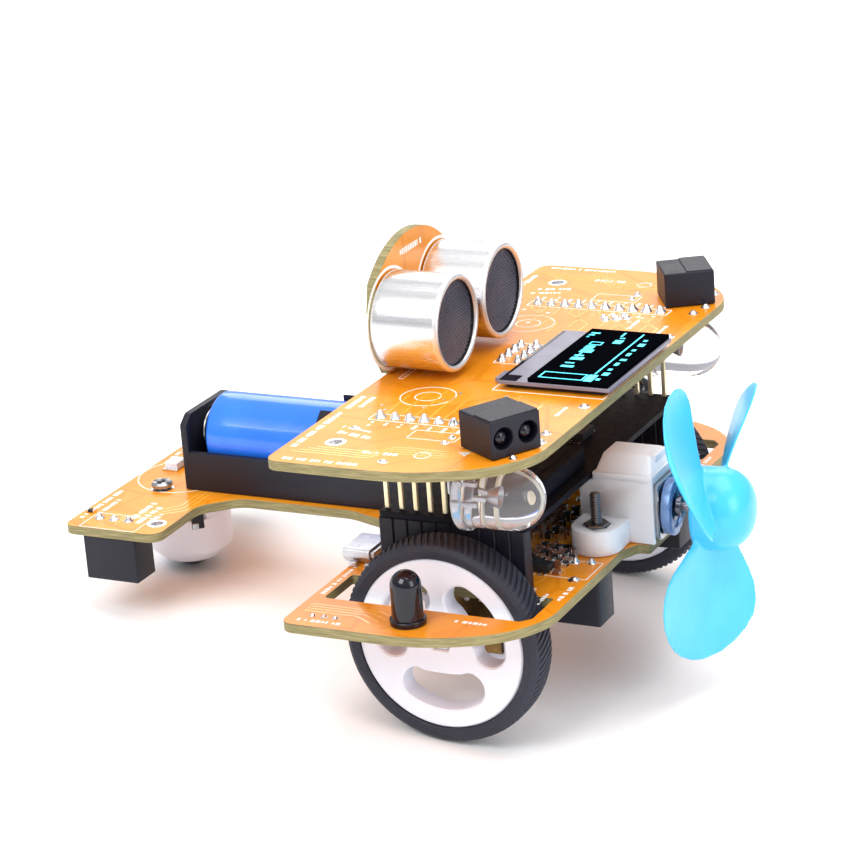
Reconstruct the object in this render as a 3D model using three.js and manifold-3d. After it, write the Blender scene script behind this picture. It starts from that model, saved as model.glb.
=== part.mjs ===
// Two-wheel robot car shaped like a biplane: two circuit boards stacked on pin
// strips, a wheel in a slot of each lower wing, a ball caster under the tail and
// a motor-driven fan on the nose. Millimetres, +X to the nose, +Y left, +Z up.
// All dimensions of the chassis are in the plane of the lower board (z = 0 at
// its top face, x = 0 at the first header pin); the chassis then stands nose-up
// on the wheels and the caster.
import * as THREE from 'three';
import { mergeVertices } from 'three/addons/utils/BufferGeometryUtils.js';
import Module from 'manifold-3d';

const wasm = await Module();
wasm.setup();

// ---- driving dimensions -------------------------------------------------
const GAP = 0.12;              // clearance between pieces that rest on each other
const BOARD_T = 1.6;           // circuit board thickness
const DECK = 25.2;             // underside of the upper board
const WING = { rear: -8.9, front: 31.3, half: 52.6, rearR: 2.2 };
const SLOT = { rear: -6.6, front: 28.6, inner: 32.0, outer: 41.7 };
const NOSE = { front: 34.8, half: 7.4 };
const BODY = { right: -6.4, left: 13.4 };
const TAIL = { rear: -65.6, front: -46.9, half: 25.7 };
const PITCH = 2.54;            // header pitch
const PINS = 10;
const ROW_Y = 30.4;            // header rows
const STRIP = { rear: -1.27, front: 24.13, w: 2.5, h: 10.4 };
const CTRL = { t: 1.0, x0: -1.3, x1: 25.0, half: 31.75 };
const WHEEL = { x: 11.8, z: -6.9, r: 17, outer: 39.3, inner: 32.6 };
const HUB = { rimR: 14.2, web: 4.0, windowIn: 5.0, windowOut: 11.2 };
const GEARBOX = { w: 12, h: 10, len: 9, face: 29.6 };
const MOTOR_LEN = 15;
const SHAFT_R = 1.5;
const CASTER = { x: -57.0, y: 1.0, r: 7.4, ballR: 4.7, bottom: -16.5 };
// Fan axis: through (x, y, z), turned to the left by yaw; back, len and mid lie along it.
const FAN = {
  x: 37.8, y: -2.3, z: 5.2, yaw: 6.5, hubR: 6.8, back: 3.5, len: 9.4, mid: 6.9, pitch: 24, turn: 27.5,
};
const MOTOR = { y: -0.5, z: 5.1, half: 6 };
const BRACKET = { x0: 22.9, x1: 35.6, y0: -7.3, y1: 6.3, top: 11.7 };
const SONAR = { y: 9, z: 35.9, r: 8, len: 12, x0: -8.0 };
const OLED = { x0: 12.45, x1: 31.7, half: 13.35 };
const EYE = { w: 9.0, d: 8.6, h: 6.0, yaw: 31, x: 26.0, y: 38.4 };
const LAMP = { r: 5, flangeR: 5.6, x0: 17.4, x1: 30.6, y: 37.6, z: 18.4 };
const HOLDER = { x0: -53.2, x1: 4.2, y0: -5.0, y1: 12.0, wall: 6.9, end: 13.4, t: 1.2 };
const CELL = { r: 7.0, len: 50 };

// ---- materials ----------------------------------------------------------
const paint = (color, roughness, metalness) =>
  new THREE.MeshStandardMaterial({ color, roughness, metalness });
const MAT = {
  mask: paint(0xf09a1c, 0.35, 0.0),
  black: paint(0x17181c, 0.5, 0.0),
  dark: paint(0x0e0f12, 0.6, 0.0),
  white: paint(0xf2f3f4, 0.45, 0.0),
  steel: paint(0xb9bcc0, 0.3, 1.0),
  can: paint(0xd6d7d9, 0.32, 1.0),
  brass: paint(0xc9a24a, 0.3, 1.0),
  gold: paint(0xe2c36b, 0.25, 1.0),
  glass: paint(0x05070a, 0.05, 0.0),
  clear: paint(0xe8eef2, 0.04, 0.0),
  cell: paint(0x1f62d8, 0.25, 0.0),
  fan: paint(0x3fcfee, 0.4, 0.0),
  tyre: paint(0x24262c, 0.85, 0.0),
  foam: paint(0x26282c, 0.9, 0.0),
};

// ---- solid helpers ------------------------------------------------------
const rad = THREE.MathUtils.degToRad;

function bare(geometry) {
  const g = geometry.clone();
  g.deleteAttribute('normal');
  g.deleteAttribute('uv');
  return mergeVertices(g, 1e-5);
}

function solid(geometry) {
  const g = bare(geometry);
  const vertProperties = new Float32Array(g.attributes.position.array);
  const triVerts = new Uint32Array(g.index.array);
  return new wasm.Manifold(new wasm.Mesh({ numProp: 3, vertProperties, triVerts }));
}

function toGeometry(manifold) {
  const mesh = manifold.getMesh();
  const g = new THREE.BufferGeometry();
  g.setAttribute('position', new THREE.BufferAttribute(mesh.vertProperties, 3));
  g.setIndex(new THREE.BufferAttribute(mesh.triVerts, 1));
  g.computeVertexNormals();
  return g;
}

const join = (...parts) => parts.reduce((a, b) => a.add(b));
const cut = (base, ...tools) => tools.reduce((a, b) => a.subtract(b), base);

function box(x0, x1, y0, y1, z0, z1) {
  const g = new THREE.BoxGeometry(x1 - x0, y1 - y0, z1 - z0);
  g.translate((x0 + x1) / 2, (y0 + y1) / 2, (z0 + z1) / 2);
  return solid(g);
}

// Cylinder between a and b along one axis letter, centred on c (the other two).
function rod(axis, a, b, c, r, sides = 24, r2 = r) {
  const g = new THREE.CylinderGeometry(r2, r, b - a, sides);
  g.translate(0, (a + b) / 2, 0);
  if (axis === 'x') {
    g.rotateZ(-Math.PI / 2);
    g.translate(0, c[0], c[1]);
  } else if (axis === 'z') {
    g.rotateX(Math.PI / 2);
    g.translate(c[0], c[1], 0);
  } else {
    g.translate(c[0], 0, c[1]);
  }
  return solid(g);
}

// Lathe of (radius, height) points turned to lie along an axis.
function turned(axis, points, c, sides = 32) {
  const g = new THREE.LatheGeometry(points.map(([r, h]) => new THREE.Vector2(r, h)), sides);
  if (axis === 'x') {
    g.rotateZ(-Math.PI / 2);
    g.translate(0, c[0], c[1]);
  } else if (axis === 'z') {
    g.rotateX(Math.PI / 2);
    g.translate(c[0], c[1], 0);
  } else {
    g.translate(c[0], 0, c[1]);
  }
  return solid(g);
}

// Flat plate: an outline of [x, y, radius] corners extruded from z0 to z1.
function outline(corners, steps = 3) {
  const pts = [];
  const n = corners.length;
  corners.forEach(([x, y, r = 0], i) => {
    const p = new THREE.Vector2(x, y);
    if (r === 0) {
      pts.push(p);
      return;
    }
    const a = new THREE.Vector2(corners[(i + n - 1) % n][0], corners[(i + n - 1) % n][1]);
    const b = new THREE.Vector2(corners[(i + 1) % n][0], corners[(i + 1) % n][1]);
    const u = a.sub(p).normalize();
    const v = b.sub(p).normalize();
    const half = Math.acos(THREE.MathUtils.clamp(u.dot(v), -1, 1)) / 2;
    const back = r / Math.tan(half);
    const mid = u.clone().add(v).normalize().multiplyScalar(r / Math.sin(half)).add(p);
    const s = p.clone().addScaledVector(u, back).sub(mid);
    const e = p.clone().addScaledVector(v, back).sub(mid);
    const sweep = Math.atan2(s.x * e.y - s.y * e.x, s.dot(e));
    for (let k = 0; k <= steps; k += 1) {
      pts.push(s.clone().rotateAround(new THREE.Vector2(), (sweep * k) / steps).add(mid));
    }
  });
  return pts;
}

function plate(points, z0, z1, holes = []) {
  const shape = new THREE.Shape(points);
  holes.forEach((h) => shape.holes.push(new THREE.Path(h)));
  const g = new THREE.ExtrudeGeometry(shape, { depth: z1 - z0, bevelEnabled: false });
  g.translate(0, 0, z0);
  return solid(g);
}

const circle = (x, y, r, n = 16) => Array.from({ length: n }, (_, i) =>
  new THREE.Vector2(x + r * Math.cos((2 * Math.PI * i) / n), y + r * Math.sin((2 * Math.PI * i) / n)));

const chassis = new THREE.Group();

function add(name, shape, material, parent = chassis) {
  const mesh = new THREE.Mesh(toGeometry(shape), material.clone());
  mesh.name = name;
  parent.add(mesh);
  return mesh;
}

const SIDES = [['right', -1], ['left', 1]];

// Outline of a wing, nose side rounded by a large bend, tail side nearly square.
function wingHalf(s) {
  const w = WING;
  return [
    [w.rear, s * w.half, w.rearR],
    [15.5, s * w.half, 30],
    [27.6, s * 46.6, 16],
    [w.front, s * 39.2, 12],
  ];
}

// ---- boards -------------------------------------------------------------
const wheelSlot = (s) => outline([
  [SLOT.rear, s * SLOT.inner],
  [SLOT.rear, s * SLOT.outer, 0.6],
  [SLOT.front - 1.4, s * SLOT.outer, 0.6],
  [SLOT.front, s * (SLOT.outer - 1.6), 0.6],
  [SLOT.front, s * SLOT.inner],
], 2);

const lowerOutline = outline([
  ...wingHalf(-1),
  [WING.front, -10.6, 1.2],
  [WING.front + 1.6, -NOSE.half, 1.2],
  [NOSE.front, -NOSE.half, 0.8],
  [NOSE.front, NOSE.half, 0.8],
  [WING.front + 1.6, NOSE.half, 1.2],
  [WING.front, 10.6, 1.2],
  ...wingHalf(1).reverse(),
  [WING.rear, BODY.left + 4, 3],
  [-20, BODY.left, 8],
  [-41.5, BODY.left, 6],
  [-47.2, BODY.left + 5.2, 4],
  [TAIL.front, TAIL.half, 2.4],
  [TAIL.rear, TAIL.half, 2.0],
  [TAIL.rear, -TAIL.half, 2.0],
  [TAIL.front, -TAIL.half, 2.4],
  [-47.2, BODY.right - 5.2, 4],
  [-41.5, BODY.right, 6],
  [-20, BODY.right, 8],
  [WING.rear, BODY.right - 4, 3],
]);
const casterScrews = [-6.5, 6.5].map((d) => [CASTER.x - 0.8, CASTER.y + d]);
const earHoles = SIDES.map(([, s]) => [27.2, s * 10.9]);
add('lower_board', plate(lowerOutline, -BOARD_T, 0, [
  wheelSlot(-1), wheelSlot(1),
  circle(-49.7, -20.9, 1.2, 12),
  ...casterScrews.map(([x, y]) => circle(x, y, 1.15, 12)),
  ...earHoles.map(([x, y]) => circle(x, y, 1.15, 12)),
]), MAT.mask);

const upperOutline = outline([...wingHalf(-1), ...wingHalf(1).reverse()]);
add('upper_board', plate(upperOutline, DECK, DECK + BOARD_T, [
  circle(-1.6, -42.6, 1.2, 12), circle(-1.6, 42.6, 1.2, 12),
]), MAT.mask);
const TOP = DECK + BOARD_T;

// ---- header strips, sockets, controller board ---------------------------
const ctrlZ = STRIP.h + GAP;
SIDES.forEach(([side, s]) => {
  const y = s * ROW_Y;
  add(`socket_strip_${side}`, box(STRIP.rear, STRIP.front, y - STRIP.w / 2, y + STRIP.w / 2,
    GAP, STRIP.h), MAT.black);
  const bar = box(STRIP.rear, STRIP.front, y - STRIP.w / 2, y + STRIP.w / 2,
    DECK - GAP - 2.5, DECK - GAP);
  const pins = [];
  for (let i = 0; i < PINS; i += 1) {
    const x = i * PITCH;
    pins.push(box(x - 0.32, x + 0.32, y - 0.32, y + 0.32, ctrlZ + CTRL.t + GAP, DECK - GAP - 1));
  }
  add(`pin_strip_${side}`, join(bar, ...pins), MAT.black);
});
// The controller board is notched at the back, where the cell holder's end stands.
const notch = { x: HOLDER.x1 + 1, y0: HOLDER.y0 - 1, y1: HOLDER.y1 + 1 };
add('controller_board', plate(outline([
  [CTRL.x0, -CTRL.half, 1], [CTRL.x1, -CTRL.half, 1],
  [CTRL.x1, CTRL.half, 1], [CTRL.x0, CTRL.half, 1],
  [CTRL.x0, notch.y1, 0.5], [notch.x, notch.y1, 1],
  [notch.x, notch.y0, 1], [CTRL.x0, notch.y0, 0.5],
], 2), ctrlZ, ctrlZ + CTRL.t), MAT.dark);
add('controller_module', box(7.5, 23, -22, -4, ctrlZ + CTRL.t + GAP, ctrlZ + CTRL.t + 3.2), MAT.steel);
add('driver_chip', box(13, 18, 18, 26, GAP, 1.9), MAT.black);

// ---- sonar --------------------------------------------------------------
// Arched top of large radius, sides just inside the cans, narrower foot.
const sonarMid = SONAR.z;
const sonarOutline = [[11.0, TOP + GAP], [14.2, sonarMid - 4], [14.4, sonarMid + 2.6]]
  .map(([y, z]) => new THREE.Vector2(y, z));
for (let i = 0; i <= 12; i += 1) {
  const y = 13.4 * Math.cos((Math.PI * i) / 12);
  sonarOutline.push(new THREE.Vector2(y, sonarMid - 6.1 + Math.sqrt(18.6 ** 2 - y * y)));
}
[[-14.4, sonarMid + 2.6], [-14.2, sonarMid - 4], [-11.0, TOP + GAP]]
  .forEach(([y, z]) => sonarOutline.push(new THREE.Vector2(y, z)));
const sonarPlate = new THREE.ExtrudeGeometry(new THREE.Shape(sonarOutline),
  { depth: BOARD_T, bevelEnabled: false });
// outline (y, z) stands upright: its plane normal turns to +X
sonarPlate.applyMatrix4(new THREE.Matrix4().set(
  0, 0, 1, SONAR.x0 - BOARD_T - GAP,
  1, 0, 0, 0,
  0, 1, 0, 0,
  0, 0, 0, 1));
add('sonar_board', solid(sonarPlate), MAT.mask);
const sonarHeader = box(SONAR.x0, SONAR.x0 + 2.5, -5.1, 5.1, TOP + GAP, TOP + 0.9);
add('sonar_header', sonarHeader, MAT.black);
SIDES.forEach(([side, s]) => {
  const c = [s * SONAR.y, SONAR.z];
  const x1 = SONAR.x0 + SONAR.len;
  add(`sonar_can_${side}`, turned('x', [
    [0, SONAR.x0], [SONAR.r, SONAR.x0], [SONAR.r, x1 - 0.5], [SONAR.r - 0.45, x1],
    [SONAR.r - 0.9, x1], [SONAR.r - 1.25, x1 - 1.2], [0, x1 - 1.2],
  ], c, 32), MAT.can);
  add(`sonar_grille_${side}`, rod('x', x1 - 1.2 + GAP, x1 - 0.5, c, SONAR.r - 1.35, 24), MAT.dark);
});

// ---- display ------------------------------------------------------------
add('oled_pad', box(OLED.x0 + 1, OLED.x1 - 1.2, -OLED.half + 1, OLED.half - 1,
  TOP + GAP, TOP + 0.75), MAT.foam);
add('oled_glass', box(OLED.x0, OLED.x1, -OLED.half, OLED.half,
  TOP + 0.75 + GAP, TOP + 2.3), MAT.glass);

// ---- reflective sensors -------------------------------------------------
// Body lying on the board, its two round windows in the outer face.
SIDES.forEach(([side, s]) => {
  const e = EYE;
  const body = cut(
    box(-e.d / 2, e.d / 2, -e.w / 2, e.w / 2, TOP + GAP, TOP + GAP + e.h),
    rod('x', e.d / 2 - 1.6, e.d / 2 + 1, [-2.25, TOP + GAP + 2.7], 1.75, 20),
    rod('x', e.d / 2 - 1.6, e.d / 2 + 1, [2.25, TOP + GAP + 2.7], 1.75, 20),
    box(-e.d / 2 - 1, -e.d / 2 + 2.4, -e.w / 2 + 1.4, e.w / 2 - 1.4, TOP + e.h - 0.5, TOP + e.h + 2),
  );
  const m = body.rotate([0, 0, s * e.yaw]).translate([e.x - 1.55, s * e.y, 0]);
  add(`ir_sensor_${side}`, m, MAT.black);
});
// Sensors under the lower board, looking down at the ground.
[['line_sensor_front', 25.9, 17.2], ['line_sensor_tail', -57.1, 22.2]].forEach(([name, x, y]) => {
  SIDES.forEach(([side, s]) => {
    const z0 = -BOARD_T - GAP - 7.9;
    const body = cut(
      box(x - 5.1, x + 5.1, s * y - 2.9, s * y + 2.9, z0, -BOARD_T - GAP),
      rod('z', z0 - 1, z0 + 1.6, [x - 2.4, s * y], 1.75, 20),
      rod('z', z0 - 1, z0 + 1.6, [x + 2.4, s * y], 1.75, 20),
    );
    add(`${name}_${side}`, body, MAT.black);
  });
});

// ---- lamps and receivers ------------------------------------------------
SIDES.forEach(([side, s]) => {
  const L = LAMP;
  const c = [s * L.y, L.z];
  const profile = [[0, L.x0], [L.flangeR, L.x0], [L.flangeR, L.x0 + 1.6], [L.r, L.x0 + 1.6]];
  for (let k = 0; k <= 4; k += 1) {
    const a = (Math.PI / 2) * (k / 4);
    profile.push([Math.max(L.r * Math.cos(a), 0), L.x1 - L.r + L.r * Math.sin(a)]);
  }
  profile[profile.length - 1][0] = 0;
  const lens = turned('x', profile, c, 24);
  const legs = [-1.27, 1.27].map((d) => join(
    box(L.x0 - 2.2, L.x0 + 0.5, s * L.y + d - 0.25, s * L.y + d + 0.25, L.z - 0.25, L.z + 0.25),
    box(L.x0 - 2.2, L.x0 - 1.7, s * L.y + d - 0.25, s * L.y + d + 0.25, L.z - 0.25, DECK - GAP),
  ));
  add(`headlight_${side}`, join(lens, ...legs), MAT.clear);
  const rc = [10.9, s * 47.1];
  const dome = [[0, GAP], [2.9, GAP], [2.9, GAP + 1], [2.5, GAP + 1]];
  for (let k = 0; k <= 4; k += 1) {
    const a = (Math.PI / 2) * (k / 4);
    dome.push([2.5 * Math.cos(a), 6.3 + 2.5 * Math.sin(a)]);
  }
  dome[dome.length - 1][0] = 0;
  add(`receiver_${side}`, turned('z', dome, rc, 18), MAT.black);
});

// ---- battery ------------------------------------------------------------
const hy = (HOLDER.y0 + HOLDER.y1) / 2;
const cellZ = GAP + HOLDER.t + GAP + CELL.r;
const cellX0 = (HOLDER.x0 + HOLDER.x1 - CELL.len) / 2;
const ends = [[HOLDER.x0, HOLDER.x0 + HOLDER.t], [HOLDER.x1 - HOLDER.t, HOLDER.x1]];
const endWall = ([a, b]) => {
  const g = new THREE.ExtrudeGeometry(new THREE.Shape(outline([
    [HOLDER.y0, 0], [HOLDER.y1, 0], [HOLDER.y1, HOLDER.end - 1.6, 0],
    [HOLDER.y1 - 2, HOLDER.end, 1.5], [HOLDER.y0 + 2, HOLDER.end, 1.5],
    [HOLDER.y0, HOLDER.end - 1.6, 0],
  ])), { depth: b - a, bevelEnabled: false });
  g.applyMatrix4(new THREE.Matrix4().set(0, 0, 1, a, 1, 0, 0, 0, 0, 1, 0, GAP, 0, 0, 0, 1));
  return solid(g);
};
const tray = cut(
  box(HOLDER.x0, HOLDER.x1, HOLDER.y0, HOLDER.y1, GAP, HOLDER.wall),
  box(HOLDER.x0 + HOLDER.t, HOLDER.x1 - HOLDER.t, HOLDER.y0 + HOLDER.t, HOLDER.y1 - HOLDER.t,
    GAP + HOLDER.t, HOLDER.end + 1),
);
// Two arms that curve over the cell's shoulders and hold it down.
const arm = (s) => {
  const inner = CELL.r + 0.25;
  const ring = cut(
    rod('x', -27.5, -21.5, [hy, cellZ], inner + 0.95, 32),
    rod('x', -28, -21, [hy, cellZ], inner, 32),
    box(-28, -21, hy - 4.2, hy + 4.2, cellZ, cellZ + 12),
    box(-28, -21, hy - 12, hy + 12, cellZ - 12, HOLDER.wall - 1.4),
    s > 0 ? box(-28, -21, hy - 12, hy, 0, 30) : box(-28, -21, hy, hy + 12, 0, 30),
  );
  return ring;
};
add('battery_holder', join(tray, ...ends.map(endWall), arm(1), arm(-1)), MAT.black);
add('battery_cell', turned('x', [
  [0, cellX0], [CELL.r - 0.8, cellX0], [CELL.r, cellX0 + 0.8],
  [CELL.r, cellX0 + CELL.len - 2.2], [CELL.r - 0.8, cellX0 + CELL.len - 1.4],
  [2.8, cellX0 + CELL.len - 1.4], [2.8, cellX0 + CELL.len], [0, cellX0 + CELL.len],
], [hy, cellZ], 28), MAT.cell);
add('contact_rear', turned('x', [
  [0, HOLDER.x0 + HOLDER.t + GAP], [3.6, HOLDER.x0 + HOLDER.t + GAP],
  [1.9, cellX0 - GAP], [0, cellX0 - GAP],
], [hy, cellZ], 20), MAT.steel);
add('contact_front', box(cellX0 + CELL.len + GAP, HOLDER.x1 - HOLDER.t - GAP,
  hy - 3.5, hy + 3.5, GAP + HOLDER.t + GAP, cellZ + 3.2), MAT.steel);
add('tail_block', box(-62.2, -59.6, 2.8, 6.0, GAP, 1.5), MAT.white);

// ---- USB inlet ----------------------------------------------------------
const usbShell = (grow, x0, x1) => {
  const g = new THREE.ExtrudeGeometry(new THREE.Shape(outline([
    [-3.75 - grow, 2.75 + grow, 0], [-3.75 - grow, 1.4, 0], [-2.7 - grow, GAP - grow, 0],
    [2.7 + grow, GAP - grow, 0], [3.75 + grow, 1.4, 0], [3.75 + grow, 2.75 + grow, 0],
  ])), { depth: x1 - x0, bevelEnabled: false });
  g.applyMatrix4(new THREE.Matrix4().set(0, 0, 1, x0, 1, 0, 0, -24.6, 0, 1, 0, 0, 0, 0, 0, 1));
  return solid(g);
};
add('usb_inlet', join(
  cut(usbShell(0, -10.2, -4.6), usbShell(-0.35, -11, -5.4)),
  box(-10.0, -5.2, -26.3, -22.9, 1.35, 1.95),
), MAT.steel);

// ---- wheels and drive ---------------------------------------------------
SIDES.forEach(([side, s]) => {
  const W = WHEEL;
  const c = [W.x, W.z];
  const flip = (shape) => (s < 0 ? shape : shape.mirror([0, 1, 0]));
  const groove = 30;
  const tyrePts = [];
  for (let i = 0; i < groove * 2; i += 1) {
    const r = i % 2 ? W.r : W.r - 0.7;
    [0.08, 0.92].forEach((f) => {
      const a = (Math.PI * (i + f)) / groove;
      tyrePts.push(new THREE.Vector2(r * Math.cos(a), r * Math.sin(a)));
    });
  }
  const ring = new THREE.ExtrudeGeometry(new THREE.Shape(tyrePts),
    { depth: W.outer - W.inner - 1.4, bevelEnabled: false });
  ring.rotateX(Math.PI / 2);
  ring.translate(W.x, -W.inner - 0.7, W.z);
  const tyreBore = rod('y', -W.outer - 1, -W.inner + 1, c, HUB.rimR + GAP, 40);
  const cheeks = turned('y', [
    [0, -W.outer], [W.r - 1.2, -W.outer], [W.r - 0.7, -W.outer + 0.7],
    [W.r - 0.7, -W.inner - 0.7], [W.r - 1.2, -W.inner], [0, -W.inner],
  ], c, 40);
  add(`tyre_${side}`, flip(cut(join(solid(ring), cheeks), tyreBore)), MAT.tyre);

  const rim = turned('y', [
    [0, -W.outer + 0.25], [HUB.rimR, -W.outer + 0.25], [HUB.rimR, -W.inner - 0.2],
    [HUB.rimR - 1.5, -W.inner - 0.2], [HUB.rimR - 1.5, -W.outer + 0.25 + HUB.web],
    [3.4, -W.outer + 0.25 + HUB.web], [3.4, -W.inner + 1.4], [0, -W.inner + 1.4],
  ], c, 40);
  // Kidney windows: wide outer arc, short inner arc, rounded ends.
  const windows = [30, 150, 270].map((mid) => {
    const pts = [];
    const put = (r, a) => pts.push(new THREE.Vector2(
      r * Math.cos(rad(mid) + a), r * Math.sin(rad(mid) + a)));
    const arc = (r, to) => {
      for (let i = 0; i <= 5; i += 1) put(r, to * ((2 * i) / 5 - 1));
    };
    arc(HUB.windowOut, 0.62);
    put(10.2, 0.78);
    put(8.2, 0.84);
    put(6.4, 0.80);
    arc(HUB.windowIn, -0.5);
    put(6.4, -0.80);
    put(8.2, -0.84);
    put(10.2, -0.78);
    const g = new THREE.ExtrudeGeometry(new THREE.Shape(pts), { depth: 12, bevelEnabled: false });
    g.rotateX(Math.PI / 2);
    g.translate(W.x, -W.inner + 3, W.z);
    return solid(g);
  });
  const bore = rod('y', -W.outer - 1, -W.inner + 3, c, SHAFT_R + 0.04, 24);
  add(`hub_${side}`, flip(cut(rim, ...windows, bore)), MAT.white);
  add(`axle_${side}`, flip(rod('y', -W.outer + 0.6, -GEARBOX.face - GAP, c, SHAFT_R, 24)), MAT.steel);

  const G = GEARBOX;
  const gz = W.z;
  add(`gearbox_${side}`, flip(box(W.x - G.w / 2, W.x + G.w / 2, -G.face, -G.face + G.len,
    gz - G.h / 2, gz + G.h / 2)), MAT.brass);
  const can = plate(outline([
    [-6, -5, 2.2], [6, -5, 2.2], [6, 5, 2.2], [-6, 5, 2.2],
  ], 3), 0, MOTOR_LEN);
  const y0 = -G.face + G.len + GAP;
  add(`drive_motor_${side}`, flip(can.rotate([-90, 0, 0]).translate([W.x, y0, gz])), MAT.steel);
  const bz0 = gz - G.h / 2 - GAP - 1.3;
  const clamp = cut(
    join(
      box(W.x - 7.4, W.x + 7.4, y0 - 8.6, y0 - 2.6, bz0, -BOARD_T - GAP),
      box(W.x - 12, W.x + 12, y0 - 8.6, y0 - 2.6, -BOARD_T - GAP - 2.8, -BOARD_T - GAP),
    ),
    box(W.x - 6 - GAP, W.x + 6 + GAP, y0 - 10, y0, gz - G.h / 2 - GAP, 0),
    rod('z', -8, 1, [W.x - 9.7, y0 - 5.6], 1.0, 12),
    rod('z', -8, 1, [W.x + 9.7, y0 - 5.6], 1.0, 12),
  );
  add(`motor_bracket_${side}`, flip(clamp), MAT.white);
});

// ---- caster -------------------------------------------------------------
const C = CASTER;
const casterTop = -BOARD_T - GAP;
const ballZ = C.bottom + C.ballR;
const cup = turned('z', [
  [0, casterTop], [C.r, casterTop], [C.r, -12.2], [4.6, -14.4], [0, -14.4],
].reverse(), [C.x, C.y], 28);
const socket = new THREE.SphereGeometry(C.ballR + 0.3, 20, 12);
socket.translate(C.x, C.y, ballZ);
const nutSlots = casterScrews.map(([x, y], i) => (
  box(x - 2.1, x + 2.1, i ? y - 2 : C.y - 12, i ? C.y + 12 : y + 2, -5.9, -4.0)));
const screwBores = casterScrews.map(([x, y]) => rod('z', -10, 0, [x, y], 1.15, 12));
add('caster_housing', cut(
  cup, solid(socket),
  rod('z', -20, ballZ, [C.x, C.y], 4.25, 20),
  ...nutSlots, ...screwBores,
), MAT.white);
const ball = new THREE.SphereGeometry(C.ballR, 22, 14);
ball.rotateX(Math.PI / 2);
ball.translate(C.x, C.y, ballZ);
add('caster_ball', solid(ball), MAT.steel);
casterScrews.forEach(([x, y], i) => {
  add(`caster_screw_${SIDES[i][0]}`, join(
    rod('z', GAP, 1.3, [x, y], 1.9, 20, 1.5),
    rod('z', -8.6, 0.6, [x, y], 0.95, 14),
    rod('z', -5.75, -4.15, [x, y], 1.95, 6),
  ), MAT.steel);
});

// ---- fan ----------------------------------------------------------------
const B = BRACKET;
const F = FAN;
const M = MOTOR;
// From the fan's own frame (x along its axis) to the chassis.
const onAxis = (shape) => shape.rotate([0, 0, F.yaw]).translate([F.x, F.y, F.z]);
const alongAxis = (a, b, r, sides) => onAxis(rod('x', a, b, [0, 0], r, sides));
const shaftRear = -5.0;
const shaftEnd = F.back + 7;
const fanMotor = join(
  box(B.x0 + 0.6, B.x1 + 0.6, M.y - M.half, M.y + M.half, M.z - 5 + GAP, M.z + 5),
  alongAxis(-1.7, 0, 4.8, 32),
  alongAxis(-0.1, 0.8, 1.7, 20),
);
add('fan_motor', cut(fanMotor, alongAxis(shaftRear - 0.2, 5, 0.78, 16)), MAT.steel);
const bracketBody = join(
  box(B.x0, B.x1, B.y0, B.y1, GAP, B.top),
  box(B.x0 + 3.4, B.x1 - 1.0, M.y - 2.3, M.y + 2.3, B.top - 0.5, B.top + 2.0),
  ...earHoles.map(([x, y]) => join(
    rod('z', GAP, 4.2, [x, y], 4.1, 28),
    box(x - 4.1, x + 4.1, y < 0 ? y : B.y1 - 1, y < 0 ? B.y0 + 1 : y, GAP, 4.2),
  )),
);
add('fan_bracket', cut(
  bracketBody,
  box(B.x0 + 0.6 - GAP, B.x1 + 2, M.y - M.half - GAP, M.y + M.half + GAP, -1, M.z + 5 + GAP),
  box(B.x0 - 2, B.x0 + 4, M.y - 4.4, M.y + 4.4, M.z - 3.6, M.z + 3.6),
  box(B.x0 - 2, CTRL.x1 + 0.3, -10, 10, ctrlZ - GAP, 20),
  ...earHoles.map(([x, y]) => rod('z', -1, 6, [x, y], 1.15, 12)),
  ...earHoles.map(([x, y]) => rod('z', 2.6, 6, [x, y], 2.45, 6)),
), MAT.white);
earHoles.forEach(([x, y], i) => {
  add(`fan_screw_${SIDES[i][0]}`, join(
    rod('z', -BOARD_T - 1.5, -BOARD_T - GAP, [x, y], 1.9, 20),
    rod('z', -BOARD_T - 0.6, 9.6, [x, y], 0.95, 16),
    rod('z', 2.75, 4.5, [x, y], 2.2, 6),
  ), MAT.steel);
});
add('fan_shaft', alongAxis(shaftRear, shaftEnd, 0.72, 16), MAT.steel);

// Hub with a domed nose, and three cupped blades set at an angle to the axis.
const hubPts = [[0, F.back], [F.hubR - 0.5, F.back], [F.hubR, F.back + 0.6]];
for (let k = 0; k <= 5; k += 1) {
  const a = (Math.PI / 2) * (k / 5);
  hubPts.push([F.hubR * Math.cos(a) ** 0.8, F.back + F.len - 5.8 + 5.8 * Math.sin(a)]);
}
hubPts[hubPts.length - 1][0] = 0;
const hubShape = turned('x', hubPts, [0, 0], 28);
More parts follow.
